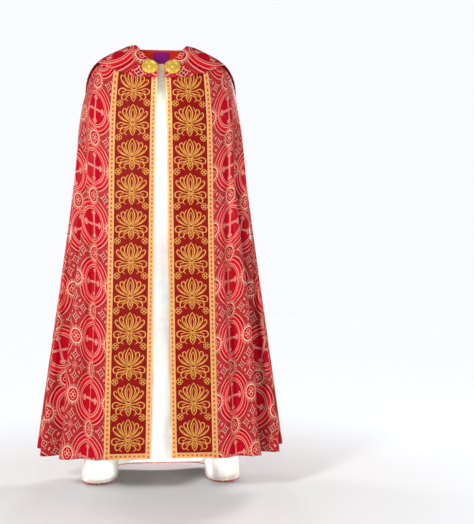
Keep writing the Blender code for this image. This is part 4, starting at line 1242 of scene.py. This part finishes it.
# One arm's embroidery, from the roundel (low) to the arm's end (high), in millimetres.
armTable = (
    (((0, 75), (0, 98), (0, 126)), 2.4),                                  # stem
    (((0, 124), (9, 134), (10, 148), (0, 166)), 2.6),                     # bud
    (((0, 132), (4, 140), (4, 148), (0, 156)), 1.8),
    (((2, 82), (12, 92), (25, 92), (31, 83), (25, 77), (19, 82)), 2.5),   # scrolls
    (((2, 98), (12, 110), (26, 112), (34, 103), (29, 95), (22, 99)), 2.5),
    (((2, 117), (13, 128), (27, 130), (35, 121), (31, 113), (25, 117)), 2.4),
    (((10, 142), (19, 138), (29, 142), (37, 134)), 2.2),                  # leaves
    (((9, 151), (20, 149), (30, 156), (40, 147)), 2.2),
    (((6, 160), (16, 160), (25, 169), (38, 164)), 2.2),
    (((2, 168), (9, 171), (14, 176)), 2.0),
    (((9, 76), (12, 81), (18, 84)), 1.8),
    (((3, 91), (14, 100), (24, 99), (30, 94)), 1.7),                      # inner lines
    (((3, 108), (13, 118), (25, 118), (32, 112)), 1.7),
    (((3, 126), (9, 129), (18, 137), (30, 135)), 1.7),
    (((14, 84), (18, 87), (23, 86)), 1.6),
    (((33, 86), (36, 94), (33, 100)), 1.6),
    (((36, 104), (38, 112), (35, 118)), 1.6),
    (((37, 122), (40, 129), (37, 134)), 1.6),
    (((12, 146), (22, 144), (33, 149), (42, 141)), 1.6),
    (((10, 155), (20, 154), (29, 162), (42, 156)), 1.6),
    (((5, 172), (16, 168), (27, 175), (40, 172)), 1.8),
)
# The roundel's embroidery: a cross with split ends, set on rays.
roundelTable = (
    (((0, -40), (0, -20), (0, 0), (0, 20), (0, 40)), 4.2),
    (((-40, 0), (-20, 0), (0, 0), (20, 0), (40, 0)), 4.2),
    (((0, 38), (5, 42), (10, 43)), 3.4),
    (((0, -38), (5, -42), (10, -43)), 3.4),
    (((38, 0), (42, 5), (43, 10)), 3.4),
    (((38, 0), (42, -5), (43, -10)), 3.4),
    (((9, 9), (18, 18), (29, 29)), 3.0),
    (((9, -9), (18, -18), (29, -29)), 3.0),
    (((8, 14), (14, 24), (19, 34)), 2.2),
    (((14, 8), (24, 14), (34, 19)), 2.2),
    (((8, -14), (14, -24), (19, -34)), 2.2),
    (((14, -8), (24, -14), (34, -19)), 2.2),
)


missDepth = 0.15  # how far out a place beside the cloth is taken to lie


def surfaceTree(grid):
    faces = gridFaces(*grid.shape[:2])
    return BVHTree.FromPolygons(grid.reshape(-1, 3).tolist(), faces.tolist())


def cast(tree, x, z, side):
    # From one metre out at that side; a miss takes the nearest place on the cloth.
    hit, normal = tree.ray_cast(Vector((x, side, z)), Vector((0, -side, 0)))[:2]
    if hit is None:
        hit, normal = tree.find_nearest(Vector((x, side * missDepth, z)))[:2]
    return np.array(hit), np.array(normal) * math.copysign(1, normal[1] * side)


hoodTree = surfaceTree(hoodOuter)


def onHood(flat, lift):
    # A grid of points of the cross's plane, laid on the hood.
    grid = np.zeros((*flat.shape[:2], 3))
    for row, column in np.ndindex(flat.shape[:2]):
        across, up = flat[row, column]
        point, normal = cast(hoodTree, -across, cross["centre"] + up, 1.0)
        high = lift if np.isscalar(lift) else lift[row, column]
        grid[row, column] = point + normal * high
    return grid


def armHalfWidth(along):
    part = max(0.0, (along - cross["waist"]) / (cross["arm"] - cross["waist"]))
    return cross["waist"] + (cross["end"] - cross["waist"]) * part ** cross["curve"]


def quarterTurn(flat, quarter):
    angle = quarter * math.pi / 2
    turn = np.array(((math.cos(angle), -math.sin(angle)), (math.sin(angle), math.cos(angle))))
    return flat @ turn.T


def armField(quarter):
    reach = cross["ring"][1] + cross["clear"]
    end = cross["arm"] - cross["galloon"] - seam
    rows = []
    for part in np.linspace(0, 1, cross["fieldRows"]):
        row = []
        for across in np.linspace(1, -1, cross["fieldColumns"]):
            foot = (armHalfWidth(reach) - cross["galloon"] - seam) * across
            along = end + (math.sqrt(reach ** 2 - foot ** 2) - end) * part
            row.append(((armHalfWidth(along) - cross["galloon"] - seam) * across, along))
        rows.append(row)
    return quarterTurn(np.array(rows), quarter)


def crossLoops(shares, steps):
    # Grid of the galloon: a row for each share, a column for each place round the cross.
    rows = []
    for share in shares:
        loop = []
        for quarter in range(4):
            reach = cross["ring"][1] + cross["clear"]
            low = cross["waist"] + (reach / math.sqrt(2) - cross["waist"]) * share
            top = cross["arm"] - cross["galloon"] * share
            flank = [(low, low)]
            for part in np.linspace(0, 1, steps)[1:]:
                along = low + (top - low) * part
                blend = min(1.0, part * cross["flankBlend"])
                wide = armHalfWidth(along) - cross["galloon"] * share
                flank.append((wide * blend + low * (1 - blend), along))
            wide = flank[-1][0]
            across = [(wide * x, top) for x in np.linspace(1, -1, cross["endSteps"])[1:-1]]
            other = [(-a, b) for a, b in flank[:0:-1]]
            loop.append(quarterTurn(np.array(flank + across + other), quarter))
        rows.append(np.concatenate(loop + [loop[0][:1]]))
    return np.array(rows)


def hoodGuide():
    line = np.linspace(cross["guideReach"], -cross["guideReach"], cross["guideSteps"])
    flat = np.stack(np.meshgrid(line, line), -1)
    return guide("guide hood", onHood(flat, 0.0), flat)


def polar(radii):
    angle = np.linspace(0, 2 * math.pi, cross["turnSteps"] + 1)
    flat = np.array([[(r * math.cos(a), r * math.sin(a)) for a in angle] for r in radii])
    return flat, np.array([[(a * max(radii), r) for a in angle] for r in radii])


def makeCross(dot, bead):
    lift = cross["lift"]
    for quarter, arm in enumerate(("top", "left", "bottom", "right")):
        flat = armField(quarter)
        piece = clothWall(f"cross_field_{arm}_cloth", onHood(flat, lift + walls["cross"]),
                          onHood(flat, lift), materials["velvet"], flat)
        fix(piece, [f"cross_field_{arm}"])
    flat = crossLoops(np.linspace(0, 1, cross["galloonRows"]), cross["flankSteps"])
    piece = clothWall("cross_galloon_cloth", onHood(flat, lift + walls["galloon"]),
                      onHood(flat, lift), materials["galloon"], flat, ring=True)
    middle = flat[cross["galloonRows"] // 2]
    fix(piece, ["cross_galloon"])

    low, high = cross["ring"]
    flat, along = polar(np.linspace(high, low, cross["ringRows"]))
    profile = np.sin(np.linspace(0, math.pi, cross["ringRows"])) ** 0.5
    edge, crown = cross["cord"]
    domed = lift + edge + crown * np.repeat(profile[:, None], flat.shape[1], axis=1)
    piece = clothWall("roundel_ring_cord", onHood(flat, domed), onHood(flat, lift),
                      materials["ring"], along, ring=True)
    fix(piece, ["roundel_ring"])
    flat, along = polar(np.linspace(cross["disc"], 0, cross["discRows"]))
    piece = clothWall("roundel_disc_cloth", onHood(flat, lift + walls["cross"]),
                      onHood(flat, lift), materials["velvet"], flat, disc=True)
    fix(piece, ["roundel_disc"])

    surface = hoodGuide()
    middle, outside, inside = crossLoops(cross["motifRows"], cross["motifSteps"])
    for part, paths, motif, pitch in (
            ("dot", [middle], dot, cross["dotPitch"]),
            ("bead", [outside, inside], bead, galloonParts["beadPitch"])):
        piece = laid(f"cross_{part}s", paths, motif, surface, pitch, lift + walls["galloon"],
                     materials[part])
        fix(piece, [])
    vertices, faces = strokes(armTable)
    allVertices, allFaces = [], []
    for quarter in range(4):
        flat = quarterTurn(np.array(vertices)[:, :2], quarter)
        first = len(allVertices)
        allVertices += [(x, y, v[2]) for (x, y), v in zip(flat, vertices)]
        allFaces += [tuple(first + k for k in face) for face in faces]
    for name, (vertices, faces) in (("cross_scrolls", (allVertices, allFaces)),
                                    ("roundel_rays", strokes(roundelTable))):
        motif = motifObject(name + " motif", vertices, faces)
        spot = [[(-0.0001, 0.0), (0.0001, 0.0)]]
        piece = laid(name, spot, motif, surface, 1.0, lift + walls["cross"],
                     materials["goldThread"], True)
        fix(piece, [])
        bpy.data.objects.remove(motif)
    bpy.data.objects.remove(surface)


makeCross(dotMotif, beadMotif)
print("cross made")


clasp = {"x": 0.0375, "z": -0.0680, "radius": 0.0272, "lobes": 12, "scallop": 0.07,
         "standoff": 0.0004, "sides": 144, "petals": 8, "strands": (40, 60), "reliefEnd": 0.95,
         "beadAt": 0.90, "beadLift": 0.0026, "bead": (0.0030, 0.0030, 0.0017, 12)}
claspRings = {
    # share of the radius, width as such a share, height in metres
    "petals": (0.42, 0.12, 0.0012), "rope": (0.68, 0.04, 0.00035), "lobes": (0.87, 0.06, 0.0012),
}
claspProfile = (
    # share of the radius, height in metres, how much of the scallop shows
    (0.000, 0.0058, 0.0), (0.080, 0.0057, 0.0), (0.150, 0.0052, 0.0), (0.200, 0.0042, 0.0),
    (0.230, 0.0034, 0.0), (0.300, 0.0031, 0.0), (0.450, 0.0030, 0.0), (0.600, 0.0029, 0.0),
    (0.640, 0.0040, 0.1), (0.680, 0.0044, 0.2), (0.720, 0.0040, 0.3), (0.760, 0.0027, 0.5),
    (0.860, 0.0024, 0.8), (0.930, 0.0026, 1.0), (0.970, 0.0024, 1.0), (0.995, 0.0016, 1.0),
    (1.000, 0.0006, 1.0), (0.985, 0.0000, 1.0),
)


def discPlace(hand):
    point, normal = cast(hoodTree, hand * clasp["x"], clasp["z"], -1.0)
    normal = Vector(normal)
    turn = normal.to_track_quat("Z", "Y").to_matrix()
    return Vector(point) + normal * clasp["standoff"], turn


def claspRelief(share, angle):
    # Petals between the boss and the rope, and a lobe for each scallop of the rim.
    strands, twist = clasp["strands"]
    forms = {"petals": 0.5 + 0.5 * math.cos(angle * clasp["petals"]),
             "rope": math.sin(angle * strands + share * twist),
             "lobes": 0.5 + 0.5 * math.cos(angle * clasp["lobes"])}
    return sum(height * forms[ring] * math.exp(-((share - at) / width) ** 2)
               for ring, (at, width, height) in claspRings.items())


def placed(vertices, place, turn):
    return [tuple(place + turn @ Vector(v)) for v in vertices]


def makeClasp(hand, name):
    place, turn = discPlace(hand)
    vertices, faces = [], []
    count = clasp["sides"]
    for share, height, scallop in claspProfile[1:]:
        for k in range(count):
            angle = 2 * math.pi * k / count
            lobe = abs(math.cos(angle * clasp["lobes"] / 2)) - 1
            reach = clasp["radius"] * share * (1 + clasp["scallop"] * scallop * lobe)
            relief = claspRelief(share, angle) if share < clasp["reliefEnd"] else 0.0
            vertices.append((reach * math.cos(angle), reach * math.sin(angle), height + relief))
    rows = len(claspProfile) - 1
    for row in range(rows - 1):
        for k in range(count):
            a, b = row * count + k, row * count + (k + 1) % count
            faces.append((a, a + count, b + count, b))
    faces.append(tuple(range(count)))
    faces.append(tuple(rows * count - 1 - k for k in range(count)))
    bead, beadFaces = dome(*clasp["bead"])
    for k in range(clasp["lobes"]):
        angle = 2 * math.pi * k / clasp["lobes"]
        first = len(vertices)
        reach = clasp["radius"] * clasp["beadAt"]
        vertices += [(x + reach * math.cos(angle), y + reach * math.sin(angle),
                      z + clasp["beadLift"]) for x, y, z in bead]
        faces += [tuple(first + j for j in face) for face in beadFaces]
    mesh = bpy.data.meshes.new(name)
    mesh.from_pydata(placed(vertices, place, turn), [], faces)
    turnOut(mesh)
    piece = addObject(f"{name}_relief", mesh, materials["gold"], 50)
    fix(piece, [name])


def paintNode(node, finish):
    # A CAD node that stays takes a procedural material.
    mesh = bpy.data.objects[node].data
    mesh.materials.clear()
    mesh.materials.append(materials[finish])


def makeMetal():
    for hand, name in ((1, "clasp_left"), (-1, "clasp_right")):
        makeClasp(hand, name)
    for name in ("clasp_eye", "clasp_hook"):
        paintNode(name, "gold")
    for link in range(1, 6):
        paintNode(f"chain_link_{link}", "steel")


makeMetal()
print("clasp made")


tassel = {"strands": 300, "head": (0.0058, 0.015), "skirt": (0.0150, 0.0075), "root": 0.0040,
          "seed": 5, "waves": 0.0007, "waveTurns": (5, 3), "cord": 0.0022, "rootBack": 0.0012,
          "rootDown": 0.70, "footLift": 0.001, "uneven": 0.004, "steps": 9, "fill": 0.93,
          "bell": 0.75, "thread": 0.00048, "threadGrows": (0.8, 0.4), "golden": 2.39996,
          "jitter": 0.1}
tasselHead = {"rows": 60, "sides": 48, "turns": 13, "ridge": 0.00022, "inset": 0.0004,
              "least": 0.0006, "bulge": (1.02, 0.02, 0.45)}


def tasselSkirt(middleY, crown):
    # Threads that fan out from the head, spread evenly by the golden angle.
    low, high = (Vector(corner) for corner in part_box("tassel"))
    draw = np.random.default_rng(tassel["seed"])
    vertices, faces = [], []
    rootY = middleY + tassel["rootBack"]
    rootZ = crown - tassel["head"][1] * tassel["rootDown"]
    footY = (low.y + high.y) / 2
    steps = tassel["steps"]
    least, grows = tassel["threadGrows"]
    turns, shift = tassel["waveTurns"]
    for number in range(tassel["strands"]):
        share = math.sqrt((number + 0.5) / tassel["strands"])
        angle = number * tassel["golden"] + draw.uniform(-tassel["jitter"], tassel["jitter"])
        way = np.array((math.cos(angle), math.sin(angle), 0.0))
        lean, wave = draw.uniform(-1, 1, 2)
        foot = low.z + tassel["footLift"] + draw.uniform(0, tassel["uneven"])
        first = len(vertices)
        for k in range(steps):
            part = k / (steps - 1)
            spread = np.array((*tassel["skirt"], 0.0)) * tassel["fill"] * part ** tassel["bell"]
            spread += tassel["root"] * (1 - part)
            middle = np.array((0.0, rootY + (footY - rootY) * part,
                               rootZ + (foot - rootZ) * part)) + way * spread * share
            middle[0] += tassel["waves"] * lean * math.sin(part * turns + wave * shift)
            size = tassel["thread"] * (least + grows * part)
            for side in range(4):
                turn = angle + side * math.pi / 2
                rim = np.array((math.cos(turn), math.sin(turn), 0))
                vertices.append(tuple(middle + size * rim))
        for k in range(steps - 1):
            for side in range(4):
                a, b = first + k * 4 + side, first + k * 4 + (side + 1) % 4
                faces.append((a, b, b + 4, a + 4))
        faces.append(tuple(first + side for side in (3, 2, 1, 0)))
        last = first + (steps - 1) * 4
        faces.append(tuple(last + side for side in range(4)))
    mesh = bpy.data.meshes.new("tassel")
    mesh.from_pydata(vertices, [], faces)
    fix(addObject("tassel_skirt", mesh, materials["silk"]), ["tassel"])


def tasselCrown(middleY, crown):
    # The wound head: a closed bulb with a ridge of thread round it.
    radius, height = tassel["head"]
    shape = bmesh.new()
    rows, count = tasselHead["rows"], tasselHead["sides"]
    long, shift, power = tasselHead["bulge"]
    grid = []
    for row in range(rows + 1):
        part = row / rows
        bulge = math.sin(math.pi * min(part * long + shift, 1)) ** power
        line = []
        for k in range(count):
            angle = 2 * math.pi * k / count
            turn = part * tasselHead["turns"] * 2 * math.pi + angle
            reach = (radius - tasselHead["inset"]) * bulge + tasselHead["ridge"] * math.sin(turn)
            reach = max(tasselHead["least"], reach)
            line.append(shape.verts.new((reach * math.cos(angle),
                                         middleY + reach * math.sin(angle),
                                         crown - height * part)))
        grid.append(line)
    for a, b in zip(grid[:-1], grid[1:]):
        for k in range(count):
            n = (k + 1) % count
            shape.faces.new((a[k], b[k], b[n], a[n]))
    shape.faces.new(grid[0])
    shape.faces.new(grid[-1][::-1])
    bmesh.ops.recalc_face_normals(shape, faces=shape.faces)
    mesh = bpy.data.meshes.new("tassel head")
    shape.to_mesh(mesh)
    shape.free()
    fix(addObject("tassel_head", mesh, materials["silk"]), [])


def makeTassel():
    crown = Vector(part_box("tassel")[1]).z
    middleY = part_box("tassel_cord")[0][1] + tassel["cord"]
    tasselSkirt(middleY, crown)
    tasselCrown(middleY, crown)
    paintNode("tassel_cord", "silk")


makeTassel()
print("tassel made")


view = {"turn": 5.0, "height": -0.713, "distance": 3.0, "lens": 59.5, "sensor": 36.0}
studio = {"ambient": 0.13, "background": 1.0, "sky": (0.95, 0.97, 1.0, 1), "floor": (0.90,) * 3,
          "floorReach": 9, "floorBelow": 0.002, "floorFade": (1.1, 0.825), "aim": (0.0, 0.0, -0.7)}


def addCamera():
    data = bpy.data.cameras.new("camera")
    data.lens = view["lens"]
    data.sensor_width = view["sensor"]
    camera = bpy.data.objects.new("camera", data)
    scene.collection.objects.link(camera)
    eye = Vector((0.0, -view["distance"], view["height"]))
    aside = math.tan(math.radians(view["turn"])) * view["distance"]
    target = Vector((aside, 0.0, view["height"]))
    camera.location = eye
    camera.rotation_euler = (target - eye).to_track_quat("-Z", "Y").to_euler()
    scene.camera = camera


def areaLight(name, place, size, power, target=studio["aim"], spread=180):
    data = bpy.data.lights.new(name, "AREA")
    data.energy = power
    data.spread = math.radians(spread)
    if isinstance(size, tuple):
        data.shape = "RECTANGLE"
        data.size, data.size_y = size
    else:
        data.size = size
    light = bpy.data.objects.new(name, data)
    scene.collection.objects.link(light)
    light.location = place
    light.rotation_euler = (Vector(target) - Vector(place)).to_track_quat("-Z", "Y").to_euler()


def addFloor():
    # Pale and plain; the camera sees it fade into the white surroundings.
    low, reach = cadBox[0][2] - studio["floorBelow"], studio["floorReach"]
    corners = [(x * reach, y * reach, low) for x, y in ((-1, -1), (1, -1), (1, 1), (-1, 1))]
    mesh = bpy.data.meshes.new("floor")
    mesh.from_pydata(corners, [], [(0, 1, 2, 3)])
    made, tree, shader = newMaterial("floor", studio["floor"], 0.8)
    place = tree.nodes.new("ShaderNodeTexCoord")
    parts = tree.nodes.new("ShaderNodeSeparateXYZ")
    tree.links.new(place.outputs["Object"], parts.inputs[0])
    far = radiusOf(Field(tree, parts.outputs[0]), Field(tree, parts.outputs[1]))
    seen = tree.nodes.new("ShaderNodeLightPath")
    glow = far.under(*studio["floorFade"]) * -1.0 + 1.0
    glow = glow * Field(tree, seen.outputs["Is Camera Ray"])
    shader.inputs["Emission Color"].default_value = studio["sky"]
    tree.links.new(glow.socket, shader.inputs["Emission Strength"])
    dark = mixColours(tree, studio["floor"], (0.0, 0.0, 0.0), glow)
    tree.links.new(dark, shader.inputs["Base Color"])
    floor = addObject("floor", mesh, made)


addCamera()
addFloor()
areaLight("key", (-1.7, -2.6, 0.5), 0.6, 74)
areaLight("fill", (2.5, -1.8, 0.0), 1.1, 30)
areaLight("front", (0.0, -3.0, 0.6), 0.6, 8)
# Narrow beams through the front gap and under the front hem, so that the lining isn't dark.
for name, height, size, power in (("gap", -0.75, (0.03, 1.25), 0.25),
                                  ("gap top", -0.25, (0.03, 0.42), 0.035),
                                  ("gap foot", -1.25, (0.03, 0.28), 0.024),
                                  ("hem", -1.42, (0.62, 0.05), 0.22)):
    areaLight(name, (0.0, -2.6, height), size, power, (0.0, 0.0, height), 2)
areaLight("back key", (2.1, 2.4, 0.4), 0.9, 66)
areaLight("back fill", (-2.4, 2.0, -0.1), 1.1, 38)
areaLight("back front", (0.0, 3.0, 0.6), 0.6, 14)
world = bpy.data.worlds.new("studio")
world.use_nodes = True
sky = world.node_tree
sky.nodes["Background"].inputs["Color"].default_value = studio["sky"]
seen = sky.nodes.new("ShaderNodeLightPath")
strength = sky.nodes.new("ShaderNodeMapRange")
strength.inputs["To Min"].default_value = studio["ambient"]
strength.inputs["To Max"].default_value = studio["background"]
sky.links.new(seen.outputs["Is Camera Ray"], strength.inputs["Value"])
sky.links.new(strength.outputs["Result"], sky.nodes["Background"].inputs["Strength"])
scene.world = world
scene.view_settings.view_transform = "Standard"

for motif in ("dot", "bead", "palmette", "quatrefoil"):
    bpy.data.objects.remove(bpy.data.objects[motif])
